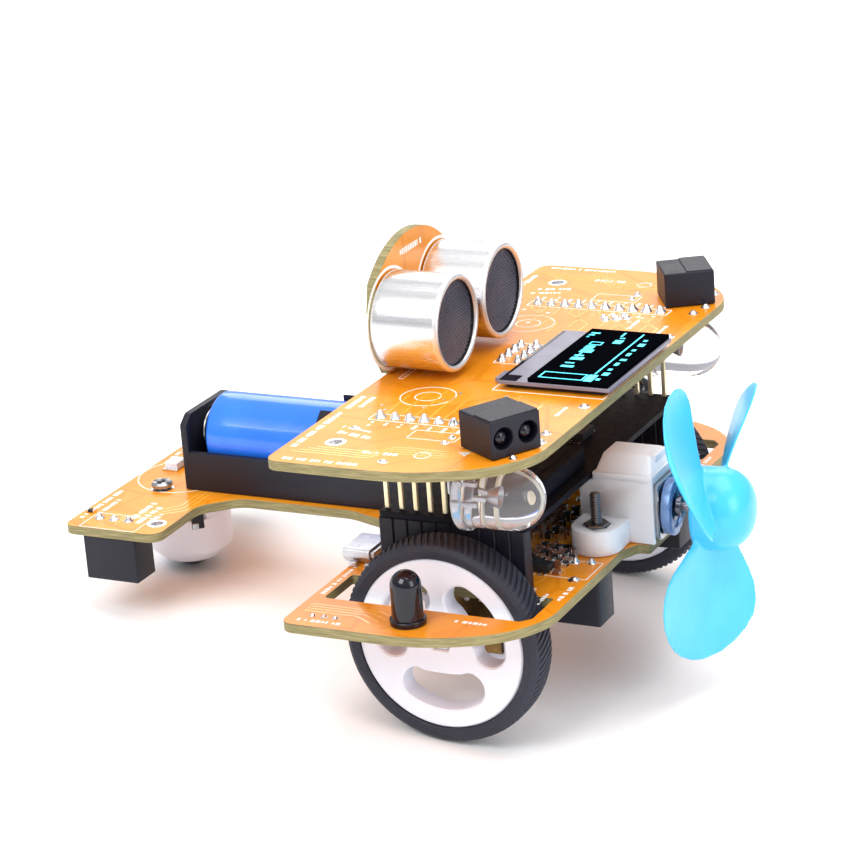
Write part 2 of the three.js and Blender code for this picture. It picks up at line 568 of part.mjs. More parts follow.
// Rear and front edge of a blade at heights along its stem line: the rear
// edge sweeps far out from the root, so the paddle trails the stem.
const BLADE = [
  [2.6, -5.6, 4.4], [4.4, -7.2, 4.7], [5.6, -10.4, 5.0], [6.8, -14.0, 5.3], [8.0, -16.6, 5.9],
  [10.0, -17.6, 6.8], [12.6, -17.6, 8.1], [15.4, -16.7, 9.1], [18.2, -14.9, 9.2],
  [20.6, -12.8, 8.5], [22.6, -10.3, 6.6], [24.2, -7.2, 3.8], [25.0, -4.2, 0.6],
];
function blade() {
  const rows = BLADE.length;
  const cols = 9;
  const T = 0.65;
  const pos = [];
  const at = (i, j, side) => {
    const [r, rear, front] = BLADE[i];
    const w = front + ((rear - front) * j) / (cols - 1);
    const twist = rad(F.pitch + 0.34 * (r - 16));
    const cup = 0.009 * w * w - 0.9 + (side - 0.5) * T;
    const x = w * Math.sin(twist) + cup * Math.cos(twist);
    const t = cup * Math.sin(twist) - w * Math.cos(twist);
    return [x, t, r];
  };
  for (let side = 0; side < 2; side += 1) {
    for (let i = 0; i < rows; i += 1) {
      for (let j = 0; j < cols; j += 1) pos.push(...at(i, j, side));
    }
  }
  const id = (side, i, j) => side * rows * cols + i * cols + j;
  const tri = [];
  const quad = (a, b, c, d) => tri.push(a, b, c, a, c, d);
  for (let i = 0; i < rows - 1; i += 1) {
    for (let j = 0; j < cols - 1; j += 1) {
      quad(id(1, i, j), id(1, i, j + 1), id(1, i + 1, j + 1), id(1, i + 1, j));
      quad(id(0, i, j), id(0, i + 1, j), id(0, i + 1, j + 1), id(0, i, j + 1));
    }
  }
  for (let j = 0; j < cols - 1; j += 1) {
    quad(id(0, 0, j), id(0, 0, j + 1), id(1, 0, j + 1), id(1, 0, j));
    quad(id(0, rows - 1, j + 1), id(0, rows - 1, j), id(1, rows - 1, j), id(1, rows - 1, j + 1));
  }
  for (let i = 0; i < rows - 1; i += 1) {
    quad(id(0, i + 1, 0), id(0, i, 0), id(1, i, 0), id(1, i + 1, 0));
    quad(id(0, i, cols - 1), id(0, i + 1, cols - 1), id(1, i + 1, cols - 1), id(1, i, cols - 1));
  }
  const g = new THREE.BufferGeometry();
  g.setAttribute('position', new THREE.Float32BufferAttribute(pos, 3));
  g.setIndex(tri);
  return g;
}
const blades = [0, 1, 2].map((k) => {
  // blade frame: x along the axis, y along the chord, z along the stem
  const g = blade();
  g.rotateX(rad(F.turn + 120 * k) - Math.PI / 2);
  g.translate(F.mid, 0, 0);
  return solid(g);
});
add('fan', onAxis(cut(
  join(hubShape, ...blades),
  rod('x', F.back - 1, shaftEnd + 0.3, [0, 0], 0.76, 16),
)), MAT.fan);

// ---- stance -------------------------------------------------------------
// Wheels and caster ball stand on z = 0: the chassis pitches nose-up about Y.
const dx = WHEEL.x - CASTER.x;
const span = Math.hypot(dx, WHEEL.z - ballZ);
const lean = Math.atan2(WHEEL.z - ballZ, dx);
const tilt = Math.asin((WHEEL.r - CASTER.ballR) / span) - lean;
chassis.rotation.y = -tilt;
chassis.position.set(0, 0, WHEEL.r - (WHEEL.x * Math.sin(tilt) + WHEEL.z * Math.cos(tilt)));

const car = new THREE.Group();
car.add(chassis);
// Origin: middle of the footprint box, on the ground.
const bounds = new THREE.Box3().setFromObject(car, true);
const middle = bounds.getCenter(new THREE.Vector3());
chassis.position.x -= middle.x;
chassis.position.y -= middle.y;
chassis.position.z -= bounds.min.z;
car.updateMatrixWorld(true);
export default car;
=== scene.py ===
import random
from math import acos, asin, atan2, cos, hypot, pi, radians, sin, sqrt, tan

import bmesh
import bpy
from mathutils import Matrix, Vector
from mathutils.geometry import tessellate_polygon


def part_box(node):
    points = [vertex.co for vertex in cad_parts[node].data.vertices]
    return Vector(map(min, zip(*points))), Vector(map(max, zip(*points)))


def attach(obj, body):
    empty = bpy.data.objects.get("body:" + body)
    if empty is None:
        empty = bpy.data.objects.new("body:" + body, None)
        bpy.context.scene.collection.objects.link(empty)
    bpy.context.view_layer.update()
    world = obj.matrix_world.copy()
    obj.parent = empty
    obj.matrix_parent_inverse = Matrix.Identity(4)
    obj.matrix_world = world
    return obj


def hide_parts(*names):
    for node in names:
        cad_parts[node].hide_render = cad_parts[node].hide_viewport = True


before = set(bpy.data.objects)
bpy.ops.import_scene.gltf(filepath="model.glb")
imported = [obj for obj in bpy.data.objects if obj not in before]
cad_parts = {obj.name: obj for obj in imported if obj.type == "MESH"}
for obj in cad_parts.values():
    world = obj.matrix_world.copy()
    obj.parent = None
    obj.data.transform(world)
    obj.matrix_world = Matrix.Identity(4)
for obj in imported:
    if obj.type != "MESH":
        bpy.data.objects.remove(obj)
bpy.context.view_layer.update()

MM = 0.001
TAU = 2 * pi
SIDES = (("right", -1), ("left", 1))

# ---- the chassis frame: millimetres in the plane of the lower board ----
WHEEL_X, WHEEL_Z, WHEEL_R = 11.8, -6.9, 17.0
BALL_X, BALL_Y, BALL_Z, BALL_R = -57.0, 1.0, -11.8, 4.7


def middle(node):
    lo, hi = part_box(node)
    return (lo + hi) / 2


def moved(x, y, z=0.0):
    return Matrix.Translation((x, y, z))


def spun(angle, axis):
    return Matrix.Rotation(angle, 4, axis)


reach = hypot(WHEEL_X - BALL_X, WHEEL_Z - BALL_Z)
TILT = asin((WHEEL_R - BALL_R) / reach) - atan2(WHEEL_Z - BALL_Z, WHEEL_X - BALL_X)
TURN = spun(-TILT, "Y")
hub_mid = middle("hub_right")
shift = Vector((hub_mid.x, 0, hub_mid.z)) - TURN @ Vector((WHEEL_X * MM, 0, WHEEL_Z * MM))
CHASSIS = moved(*shift) @ TURN

BOARD_T = 1.6
DECK = 25.2
TOP = DECK + BOARD_T
GAP = 0.12              # between a part and the board it sits on
ROW_Y = 30.4            # the two header rows, ten pins each
PITCH = 2.54
PINS = 10
PIN_X = [k * PITCH for k in range(PINS)]
CTRL_Z, CTRL_T = 10.52, 1.0


# ---- materials ----
def linear(r, g, b):
    """A display colour in 0..255 as linear values."""
    def one(v):
        v /= 255
        return v / 12.92 if v <= 0.04045 else ((v + 0.055) / 1.055) ** 2.4
    return one(r), one(g), one(b), 1.0


class Nodes:
    """Small builder for one material's node tree."""

    def __init__(self, name):
        self.mat = bpy.data.materials.new(name)
        self.mat.use_nodes = True
        self.tree = self.mat.node_tree
        self.bsdf = self.tree.nodes["Principled BSDF"]
        self.coord = self.tree.nodes.new("ShaderNodeTexCoord")

    def new(self, kind, links=(), **values):
        node = self.tree.nodes.new(kind)
        for key, value in values.items():
            node.inputs[key.replace("_", " ")].default_value = value
        for socket, source in links:
            self.tree.links.new(source, node.inputs[socket])
        return node

    def space(self, stretch=(1, 1, 1), turn=0.0):
        """Chassis coordinates: undoes the nose-up stance and a turn about z, then stretches."""
        node = self.new("ShaderNodeMapping", [("Vector", self.coord.outputs["Object"])],
                        Scale=[1 / max(k, 1e-5) for k in stretch], Rotation=(0, -TILT, turn))
        node.vector_type = "TEXTURE"
        return node.outputs["Vector"]

    def noise(self, scale, detail=3.0, rough=0.55, stretch=(1, 1, 1)):
        return self.new("ShaderNodeTexNoise", [("Vector", self.space(stretch))],
                        Scale=scale, Detail=detail, Roughness=rough).outputs["Fac"]

    def ramp(self, source, stops):
        node = self.new("ShaderNodeValToRGB", [("Fac", source)])
        node.color_ramp.elements[0].position, node.color_ramp.elements[0].color = stops[0]
        node.color_ramp.elements[1].position, node.color_ramp.elements[1].color = stops[-1]
        for place, colour in stops[1:-1]:
            node.color_ramp.elements.new(place).color = colour
        return node.outputs["Color"]

    def span(self, source, low, high):
        """The middle of a noise, 0.3 to 0.7, spread from low to high."""
        return self.new("ShaderNodeMapRange", [("Value", source)],
                        From_Min=0.3, From_Max=0.7, To_Min=low, To_Max=high).outputs["Result"]

    def mix(self, factor, a, b):
        node = self.new("ShaderNodeMix")
        node.data_type = "RGBA"
        for socket, value in ((0, factor), (6, a), (7, b)):
            self.feed(node.inputs[socket], value)
        return node.outputs[2]

    def feed(self, socket, value):
        if isinstance(value, bpy.types.NodeSocket):
            self.tree.links.new(value, socket)
        else:
            socket.default_value = value

    def set(self, **values):
        for key, value in values.items():
            self.feed(self.bsdf.inputs[key.replace("_", " ")], value)

    def bump(self, height, strength, depth):
        node = self.new("ShaderNodeBump", [("Height", height)], Strength=strength, Distance=depth * MM)
        self.tree.links.new(node.outputs["Normal"], self.bsdf.inputs["Normal"])


def finish_of(name, dark, light, rough, metal=0.0, grain=2500, strength=0.25, depth=0.05, **fixed):
    """Two tones blended by a soft blotch, roughness that varies, and a fine grain in relief."""
    n = Nodes(name)
    soft = n.noise(120, 3)
    fine = n.noise(grain, 2, 0.6)
    n.set(Base_Color=n.mix(soft, linear(*dark), linear(*light)), Roughness=n.span(fine, *rough),
          Metallic=metal, **fixed)
    if strength:
        n.bump(fine, strength, depth)
    return n.mat


def mask_material(name, base, pour, gap):
    """Solder mask: copper areas under it in a lighter tone, split by thin darker lines."""
    n = Nodes(name)
    cells = n.new("ShaderNodeTexVoronoi", [("Vector", n.space((1, 1.35, 0), 0.7))], Scale=62)
    cells.feature = "DISTANCE_TO_EDGE"
    cells.inputs["Randomness"].default_value = 0.8
    line = n.ramp(cells.outputs["Distance"], [(0.0, OFF), (0.016, OFF), (0.024, ON), (1.0, ON)])
    patch = n.new("ShaderNodeTexVoronoi", [("Vector", n.space((1, 1.2, 0), 0.7))], Scale=40)
    area = n.ramp(patch.outputs["Distance"], [(0.0, ON), (0.50, ON), (0.515, OFF), (1.0, OFF)])
    tone = n.mix(area, linear(*base), linear(*pour))
    tone = n.mix(line, linear(*gap), tone)
    cloud = n.noise(30, 3)
    tone = n.mix(n.span(cloud, 0.0, 0.5), tone, linear(*base))
    n.set(Base_Color=tone, Roughness=n.span(cloud, 0.27, 0.29), Specular_IOR_Level=0.3)
    relief = n.new("ShaderNodeMath", [(0, line), (1, area)])
    relief.operation = "ADD"
    n.bump(relief.outputs[0], 0.12, 0.02)
    return n.mat


def edge_material():
    """Sawn glass-fibre edge: thin layers along the board, with pale and olive fibres."""
    n = Nodes("fibre_edge")
    layers = n.noise(260, 4, 0.65, (1, 1, 14))
    n.set(Base_Color=n.ramp(layers, [(0.30, linear(112, 102, 62)), (0.50, linear(138, 127, 84)),
                                     (0.70, linear(164, 152, 108))]),
          Roughness=n.span(layers, 0.5, 0.75))
    n.bump(layers, 0.4, 0.06)
    return n.mat


def brushed(name, tone, rough, stretch):
    """Bare metal with fine streaks along one way."""
    n = Nodes(name)
    streak = n.noise(500, 4, 0.7, stretch)
    broad = n.noise(140, 2, 0.5, stretch)
    n.set(Base_Color=n.mix(n.span(broad, 0, 1), linear(*[c - 14 for c in tone]), linear(*tone)),
          Metallic=1.0, Roughness=n.span(streak, *rough))
    n.bump(streak, 0.02, 0.005)
    return n.mat


def glow(name, colour, power):
    """Lit cells of a display: a fine checker of two brightnesses."""
    n = Nodes(name)
    dots = n.new("ShaderNodeTexChecker", [("Vector", n.space())], Scale=5200)
    dimmer = linear(*[int(c * 0.86) for c in colour])
    n.set(Base_Color=linear(*colour), Emission_Color=n.mix(dots.outputs["Fac"], linear(*colour), dimmer),
          Emission_Strength=power, Roughness=0.3)
    return n.mat


def clear_material():
    n = Nodes("clear_epoxy")
    swirl = n.noise(90, 2)
    n.set(Base_Color=n.mix(swirl, linear(238, 240, 250), linear(252, 252, 255)), Roughness=0.02, IOR=1.3,
          Transmission_Weight=0.9)
    n.bump(swirl, 0.02, 0.02)
    return n.mat


OFF, ON = (0, 0, 0, 1), (1, 1, 1, 1)
MASK = mask_material("orange_mask", (228, 138, 22), (234, 148, 34), (220, 130, 18))
EDGE = edge_material()
TRACE = finish_of("trace_mask", (246, 166, 48), (250, 178, 68), (0.22, 0.34), Coat_Weight=0.4)
SILK = finish_of("white_legend", (236, 234, 228), (252, 250, 246), (0.45, 0.62))
BLACK = finish_of("black_nylon", (15, 15, 26), (26, 26, 40), (0.38, 0.55), grain=3600, strength=0.3,
                  Specular_IOR_Level=0.35)
BLACK_GLOSS = finish_of("black_epoxy", (6, 5, 16), (14, 12, 30), (0.06, 0.14), grain=700, strength=0.04)
BLACK_BOARD = finish_of("black_mask", (12, 13, 22), (18, 18, 30), (0.55, 0.68), grain=900, strength=0.05,
                        Specular_IOR_Level=0.15)
CHIP = finish_of("chip_epoxy", (26, 26, 30), (42, 42, 46), (0.45, 0.6), grain=5000, strength=0.4)
WHITE = finish_of("white_hub_plastic", (224, 225, 238), (238, 239, 248), (0.32, 0.46), grain=1800,
                  Subsurface_Weight=0.25, Subsurface_Scale=0.002, Subsurface_Radius=(1.0, 0.95, 0.95))
NYLON = finish_of("milky_nylon", (238, 240, 250), (250, 251, 255), (0.28, 0.42), grain=1500,
                  Subsurface_Weight=0.4, Subsurface_Scale=0.004, Subsurface_Radius=(0.8, 0.9, 1.0))
STEEL = finish_of("nickel_steel", (150, 150, 152), (196, 196, 198), (0.26, 0.40), 1.0, grain=900,
                  strength=0.06)
SATIN = finish_of("satin_tin", (176, 176, 182), (214, 214, 218), (0.40, 0.52), 1.0, grain=700, strength=0.05)
# steel for the ear screws, partly its own tone and partly painted shade: darker than plain steel to stand
# for the shade on the nuts in their recess
SCREW_STEEL_WITH_SHADE = finish_of("screw_steel_with_recess_shade", (112, 110, 114), (150, 148, 150), (0.26, 0.40), 1.0, grain=700,
                        strength=0.05)
DARK_STEEL = finish_of("dark_steel", (64, 66, 78), (96, 98, 110), (0.10, 0.22), 1.0, grain=900, strength=0.1)
SOLDER = finish_of("solder", (214, 213, 216), (248, 247, 248), (0.2, 0.34), 1.0, grain=900, strength=0.3)
# gold plating whose pale cream tone is partly a painted highlight
GOLD_AND_SHEEN = finish_of("gold_pin_and_highlight", (240, 224, 176), (253, 246, 218), (0.34, 0.46), 0.7, grain=900, strength=0.05)
# painted shade: the gear plates' brass is darkened to stand for the shadow the gearbox sits in
SHADE_DARKENED_BRASS = finish_of("brass_plate_painted_shade", (104, 80, 50), (140, 112, 70), (0.24, 0.42), 1.0, grain=1400)
CAN = brushed("brushed_can", (240, 240, 243), (0.22, 0.30), (0.25, 6, 6))
CAN_RIM = finish_of("rolled_rim", (226, 226, 230), (244, 243, 244), (0.28, 0.42), 0.9, grain=1800)
MESH_WIRE = finish_of("grille_wire", (84, 86, 104), (132, 134, 152), (0.30, 0.42), 0.7, grain=2600)
PIT = finish_of("grille_pit", (8, 8, 14), (16, 16, 26), (0.6, 0.8))
FOAM = finish_of("foam_pad", (28, 28, 32), (48, 48, 54), (0.85, 0.95), grain=2200, strength=0.8)
WRAP = finish_of("blue_wrap", (30, 104, 236), (48, 130, 250), (0.16, 0.26), grain=420, strength=0.12,
                 depth=0.08, Coat_Weight=0.4)
RUBBER = finish_of("ribbed_rubber", (24, 25, 38), (38, 40, 56), (0.55, 0.72), grain=3000, strength=0.5,
                   depth=0.06)
FAN_PLASTIC = finish_of("fan_plastic", (46, 176, 240), (82, 206, 251), (0.28, 0.28), grain=300, strength=0.0,
                        Subsurface_Weight=0.12, Subsurface_Scale=0.002, Subsurface_Radius=(0.35, 0.85, 1.0))
BOSS = finish_of("blue_grey_boss", (92, 128, 180), (126, 158, 206), (0.24, 0.34), 0.35, grain=500,
                 strength=0.05)
GLASS_DARK = finish_of("display_glass", (3, 4, 7), (8, 9, 13), (0.10, 0.18), grain=600, strength=0.01,
                       Specular_IOR_Level=0.0)
GLASS_EDGE = finish_of("glass_ledge", (118, 114, 128), (146, 142, 156), (0.30, 0.40), grain=300,
                       strength=0.02, Specular_IOR_Level=0.25)
PIXELS = glow("lit_pixels", (10, 214, 236), 0.9)
BROWN = finish_of("brown_ceramic", (120, 72, 52), (160, 104, 76), (0.3, 0.5), grain=900, strength=0.1)
CLEAR = clear_material()


# ---- mesh helpers ----
def nose_on(x, y, z):
    """Places a piece built up its own z so that it points to the nose."""
    return moved(x, y, z) @ spun(pi / 2, "Y")


# Turns a plate drawn flat so that it stands across the chassis: its x to the left, its y up.
UPRIGHT = Matrix(((0, 0, 1, 0), (1, 0, 0, 0), (0, 1, 0, 0), (0, 0, 0, 1)))


def place(verts, m):
    if m is not None:
        for v in verts:
            v.co = m @ v.co


def rounded(corners, steps=8):
    """Points of a closed outline whose corners are [x, y, radius]."""
    pts = []
    n = len(corners)
    for i, corner in enumerate(corners):
        p = Vector(corner[:2])
        r = corner[2] if len(corner) > 2 else 0
        if not r:
            pts.append(p)
            continue
        u = (Vector(corners[i - 1][:2]) - p).normalized()
        v = (Vector(corners[(i + 1) % n][:2]) - p).normalized()
        half = acos(max(-1.0, min(1.0, u.dot(v)))) / 2
        mid = (u + v).normalized() * (r / sin(half)) + p
        s = p + u * (r / tan(half)) - mid
        e = p + v * (r / tan(half)) - mid
        sweep = atan2(s.x * e.y - s.y * e.x, s.dot(e))
        for k in range(steps + 1):
            a = sweep * k / steps
            pts.append(mid + Vector((s.x * cos(a) - s.y * sin(a),
                                     s.x * sin(a) + s.y * cos(a))))
    return pts


def circle(x, y, r, n=32, turn=0.0):
    return [Vector((x + r * cos(TAU * k / n + turn), y + r * sin(TAU * k / n + turn)))
            for k in range(n)]


def rectangle(x0, x1, y0, y1, r=0.0, steps=3):
    return rounded([[x0, y0, r], [x1, y0, r], [x1, y1, r], [x0, y1, r]], steps)


def grown(poly, d):
    """The outline moved outwards by d, or inwards where d is negative."""
    n = len(poly)
    area = sum(poly[i].x * poly[(i + 1) % n].y - poly[(i + 1) % n].x * poly[i].y for i in range(n))
    sign = 1 if area > 0 else -1
    out = []
    for i in range(n):
        a = (poly[i] - poly[i - 1]).normalized()
        b = (poly[(i + 1) % n] - poly[i]).normalized()
        na, nb = Vector((a.y, -a.x)), Vector((b.y, -b.x))
        bis = na + nb
        if bis.length < 1e-6:
            bis = na
        bis.normalize()
        out.append(poly[i] + bis * (sign * d / max(0.35, bis.dot(na))))
    return out


def softened(poly, rounds=2):
    """Cuts the corners of a closed outline until it runs smoothly."""
    for _ in range(rounds):
        poly = [poly[i].lerp(poly[(i + 1) % len(poly)], t) for i in range(len(poly)) for t in (0.25, 0.75)]
    return poly


def ring(bm, poly, z):
    return [bm.verts.new((p[0], p[1], z)) for p in poly]


def wall(bm, a, b, mat=0):
    for i in range(len(a)):
        j = (i + 1) % len(a)
        bm.faces.new((a[i], a[j], b[j], b[i])).material_index = mat


def cap(bm, rings, mat):
    flat = [v for r in rings for v in r]
    for tri in tessellate_polygon([[v.co for v in r] for r in rings]):
        try:
            bm.faces.new([flat[k] for k in tri]).material_index = mat
        except ValueError:
            pass


def prism(bm, outer, z0, z1, holes=(), blind=(), edge=0.0, mats=(0, 0), m=None):
    """Plate between z0 and z1 with chamfered edges. blind holds (outline, depth) pits in its top."""
    old = len(bm.verts)
    bottom, top = [], []
    for poly, sign in [(outer, -1), *[(h, 1) for h in holes]]:
        low = ring(bm, grown(poly, sign * edge) if edge else poly, z0)
        high = ring(bm, grown(poly, sign * edge) if edge else poly, z1)
        if edge:
            a, b = ring(bm, poly, z0 + edge), ring(bm, poly, z1 - edge)
            wall(bm, low, a, mats[1])
            wall(bm, a, b, mats[1])
            wall(bm, b, high, mats[1])
        else:
            wall(bm, low, high, mats[1])
        bottom.append(low)
        top.append(high)
    for poly, depth in blind:
        lip = ring(bm, grown(poly, edge * 0.6) if edge else poly, z1)
        if edge:
            neck = ring(bm, poly, z1 - edge * 0.6)
            wall(bm, lip, neck, mats[1])
        else:
            neck = lip
        floor = ring(bm, poly, z1 - depth)
        wall(bm, neck, floor, mats[1])
        cap(bm, [floor], mats[1])
        top.append(lip)
    cap(bm, bottom, mats[0])
    cap(bm, top, mats[0])
    bm.verts.ensure_lookup_table()
    place(bm.verts[old:], m)


def block(bm, x0, x1, y0, y1, z0, z1, edge=0.15, m=None):
    prism(bm, rectangle(x0, x1, y0, y1, edge, 2), z0, z1, edge=edge * 0.7, m=m)


def lathe(bm, pts, n=48, mat=0, m=None, loop=False):
    """Surface of revolution about z through (radius, height) points."""
    old = len(bm.verts)
    rings = []
    for r, h in pts:
        if r < 1e-6:
            rings.append([bm.verts.new((0, 0, h))])
        else:
            rings.append([bm.verts.new((r * cos(TAU * k / n), r * sin(TAU * k / n), h)) for k in range(n)])
    pairs = list(zip(rings, rings[1:])) + ([(rings[-1], rings[0])] if loop else [])
    for a, b in pairs:
        for k in range(n):
            j = (k + 1) % n
            if len(a) == 1 and len(b) == 1:
                continue
            if len(a) == 1:
                face = (a[0], b[j], b[k])
            elif len(b) == 1:
                face = (a[k], a[j], b[0])
            else:
                face = (a[k], a[j], b[j], b[k])
            bm.faces.new(face).material_index = mat
    bm.verts.ensure_lookup_table()
    place(bm.verts[old:], m)


def arc(cx, cy, r, a0, a1, steps=6):
    """Points of an arc for a lathe profile, angles in degrees from the radius axis."""
    return [(cx + r * cos(radians(a0 + (a1 - a0) * k / steps)),
             cy + r * sin(radians(a0 + (a1 - a0) * k / steps))) for k in range(steps + 1)]


def tube(bm, path, r, n=10):
    """Round wire along a path of points."""
    pts = [Vector(p) for p in path]
    side = None
    rings = []
    for i, p in enumerate(pts):
        d = (pts[min(i + 1, len(pts) - 1)] - pts[max(i - 1, 0)]).normalized()
        if side is None:
            side = d.orthogonal().normalized()
        side = (side - d * side.dot(d)).normalized()
        other = d.cross(side)
        rings.append([bm.verts.new(p + (side * cos(TAU * k / n) + other * sin(TAU * k / n)) * r)
                      for k in range(n)])
    for a, b in zip(rings, rings[1:]):
        wall(bm, a, b)
    for end in (rings[0], rings[-1]):
        bm.faces.new(end)


def ribbon(bm, pts, width, z, h=0.03):
    """Flat printed strip along a polyline, lying on height z."""
    pts = [Vector(p) for p in pts]
    left, right = [], []
    for i, p in enumerate(pts):
        a = (p - pts[i - 1]).normalized() if i else (pts[1] - p).normalized()
        b = (pts[i + 1] - p).normalized() if i < len(pts) - 1 else a
        na, nb = Vector((-a.y, a.x)), Vector((-b.y, b.x))
        bis = (na + nb).normalized()
        k = width / 2 / max(0.4, bis.dot(na))
        left.append(p + bis * k)
        right.append(p - bis * k)
    prism(bm, left + right[::-1], z, z + h)


def in_scene(name, data):
    ob = bpy.data.objects.new(name, data)
    bpy.context.scene.collection.objects.link(ob)
    return ob


def outline(*points):
    return [Vector(p) for p in points]


def piece(name, bm, mats, replaces=(), body="chassis", sharp=32):
    """Turns a mesh in chassis millimetres into an object that rides on a body."""
    bmesh.ops.recalc_face_normals(bm, faces=bm.faces)
    for v in bm.verts:
        v.co = CHASSIS @ (v.co * MM)
    me = bpy.data.meshes.new(name)
    bm.to_mesh(me)
    bm.free()
    for mat in mats:
        me.materials.append(mat)
    me.polygons.foreach_set("use_smooth", [True] * len(me.polygons))
    me.set_sharp_from_angle(angle=radians(sharp))
    ob = in_scene(name, me)
    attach(ob, body)
    if replaces:
        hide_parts(*replaces)
    return ob


def start():
    return bmesh.new()


# ---- boards ----
def wing_half(s):
    return [[-8.9, s * 52.6, 2.2], [15.5, s * 52.6, 30], [27.6, s * 46.6, 16], [31.3, s * 39.2, 12]]


UPPER = rounded(wing_half(-1) + wing_half(1)[::-1], 10)
LOWER = rounded(
    wing_half(-1)
    + [[31.3, -10.6, 1.2], [32.9, -7.4, 1.2], [34.8, -7.4, 0.8], [34.8, 7.4, 0.8], [32.9, 7.4, 1.2],
       [31.3, 10.6, 1.2]]
    + wing_half(1)[::-1]
    + [[-8.9, 17.4, 3], [-20, 13.4, 8], [-41.5, 13.4, 6], [-47.2, 18.6, 4], [-46.9, 25.7, 2.4],
       [-65.6, 25.7, 2], [-65.6, -25.7, 2], [-46.9, -25.7, 2.4], [-47.2, -11.6, 4], [-41.5, -6.4, 6],
       [-20, -6.4, 8], [-8.9, -10.4, 3]], 10)


def wheel_slot(s):
    return rounded([[-6.6, s * 32.0, 0.4], [-6.6, s * 41.7, 0.8], [27.2, s * 41.7, 0.8],
                    [28.6, s * 40.1, 0.8], [28.6, s * 32.0, 0.4]], 4)


TAIL_SCREWS = [(BALL_X - 0.8, BALL_Y + d) for d in (-6.5, 6.5)]
EARS = [(27.2, s * 10.9) for _, s in SIDES]
WING_HOLES = [(-1.6, s * 42.6) for _, s in SIDES]

bm = start()
prism(bm, LOWER, -BOARD_T, 0, edge=0.07, mats=(0, 1),
      holes=[wheel_slot(-1), wheel_slot(1), circle(-49.7, -20.9, 1.2, 20), circle(-49.7, 20.9, 1.2, 20)]
      + [circle(x, y, 1.15, 20) for x, y in TAIL_SCREWS + EARS])
piece("lower_board_laminate", bm, [MASK, EDGE], ["lower_board"])
bm = start()
prism(bm, UPPER, DECK, TOP, edge=0.07, mats=(0, 1),
      holes=[circle(x, y, 1.2, 20) for x, y in WING_HOLES])
piece("upper_board_laminate", bm, [MASK, EDGE], ["upper_board"])

# Sonar board: arched top, narrow foot; its plane is turned upright.
SONAR_X, SONAR_Y, SONAR_Z = -8.0, 9.0, 35.9
R, L = 8.0, 12.0        # radius and length of a sonar can
ARCH_R, ARCH_HALF = 18.6, 13.4
foot = [(11.0, TOP + GAP), (14.2, SONAR_Z - 4), (14.4, SONAR_Z + 2.6)]
crest_y = [ARCH_HALF * cos(pi * i / 24) for i in range(25)]
arch = outline(*foot, *[(y, SONAR_Z - 6.1 + sqrt(ARCH_R ** 2 - y * y)) for y in crest_y],
               *[(-y, z) for y, z in foot[::-1]])
back = SONAR_X - BOARD_T - GAP
bm = start()
prism(bm, arch, back, back + BOARD_T, edge=0.07, mats=(0, 1), m=UPRIGHT)
piece("sonar_board_laminate", bm, [MASK, EDGE], ["sonar_board"])

# ---- printed marks, traces, pads, vias ----
dice = random.Random(7)
INK_T = 0.03


def marks(bm, x, y, length, dx=1.0, dy=0.0, tall=0.8, z=TOP):
    """A line of short printed bars that starts at (x, y) and runs along (dx, dy)."""
    done = 0.0
    line = moved(x, y) @ spun(atan2(dy, dx), "Z")
    while done < length:
        w = dice.uniform(0.35, 0.85)
        h = tall * dice.choice((0.7, 1.0, 1.0))
        prism(bm, rectangle(done, done + w, -h / 2, h / 2), z, z + INK_T, m=line)
        done += w + dice.choice((0.22, 0.22, 0.22, 0.75))


def frame_line(bm, x0, x1, y0, y1, z, w=0.2):
    around = rectangle(x0, x1, y0, y1, 0.3)
    prism(bm, around, z, z + INK_T, holes=[grown(around, -w)])


def ring_mark(bm, x, y, r, z, w=0.22, n=40):
    prism(bm, circle(x, y, r, n), z, z + INK_T, holes=[circle(x, y, r - w, n)])


bm = start()
for _, s in SIDES:
    # header frame, labels beside each pin, long lines near the wing edges
    frame_line(bm, -1.6, 24.5, s * ROW_Y - 1.55, s * ROW_Y + 1.55, TOP)
    for k, x in enumerate(PIN_X):
        marks(bm, x - 0.2, s * (ROW_Y + 2.2), 1.5, 0, s, 0.62)
        if k > 5:
            marks(bm, x - 0.2, s * (ROW_Y - 2.2), 1.2, 0, -s, 0.62)
    for x, y, length, dx, dy, tall in (
            (-6.4, 50.9, 12.5, 1, 0, 0.9), (-7.2, 30, 16, 0, 1, 1.0), (-7.2, 22, 6, 0, 1, 0.9),
            (-5.4, 22, 5, 0, 1, 0.9), (4.5, 45.4, 5.5, 1, 0, 1.2), (-3.4, 38.2, 6.5, 0.85, 0.2, 1.1),
            (-3.8, 35.8, 5.0, 0.85, 0.2, 0.7)):
        marks(bm, x, s * y, length, dx, s * dy, tall)
    ring_mark(bm, 14.2, s * 44.6, 1.35, TOP)
    # arrow and bar next to each reflective sensor
    prism(bm, outline((19.0, s * 42.0), (20.6, s * 43.4), (20.9, s * 41.4)), TOP, TOP + INK_T)
    frame_line(bm, 8.2, 16.5, s * 36.2 - 1.9, s * 36.2 + 1.9, TOP, 0.16)
    marks(bm, 21.0, s * 20.6, 6.0, 0, s, 0.7)
    marks(bm, 26.8, s * 19.0, 4.6, 0, s, 0.7)
    ring_mark(bm, 3.0, s * 19.5, 4.6, TOP, 0.18)
    ring_mark(bm, 3.0, s * 19.5, 2.2, TOP, 0.18)
frame_line(bm, 11.6, 31.0, -14.1, 14.1, TOP)
frame_line(bm, -5.9, -5.0, -12.6, 12.6, TOP, 0.14)
frame_line(bm, 5.9, 11.1, -1.4, 9.3, TOP)
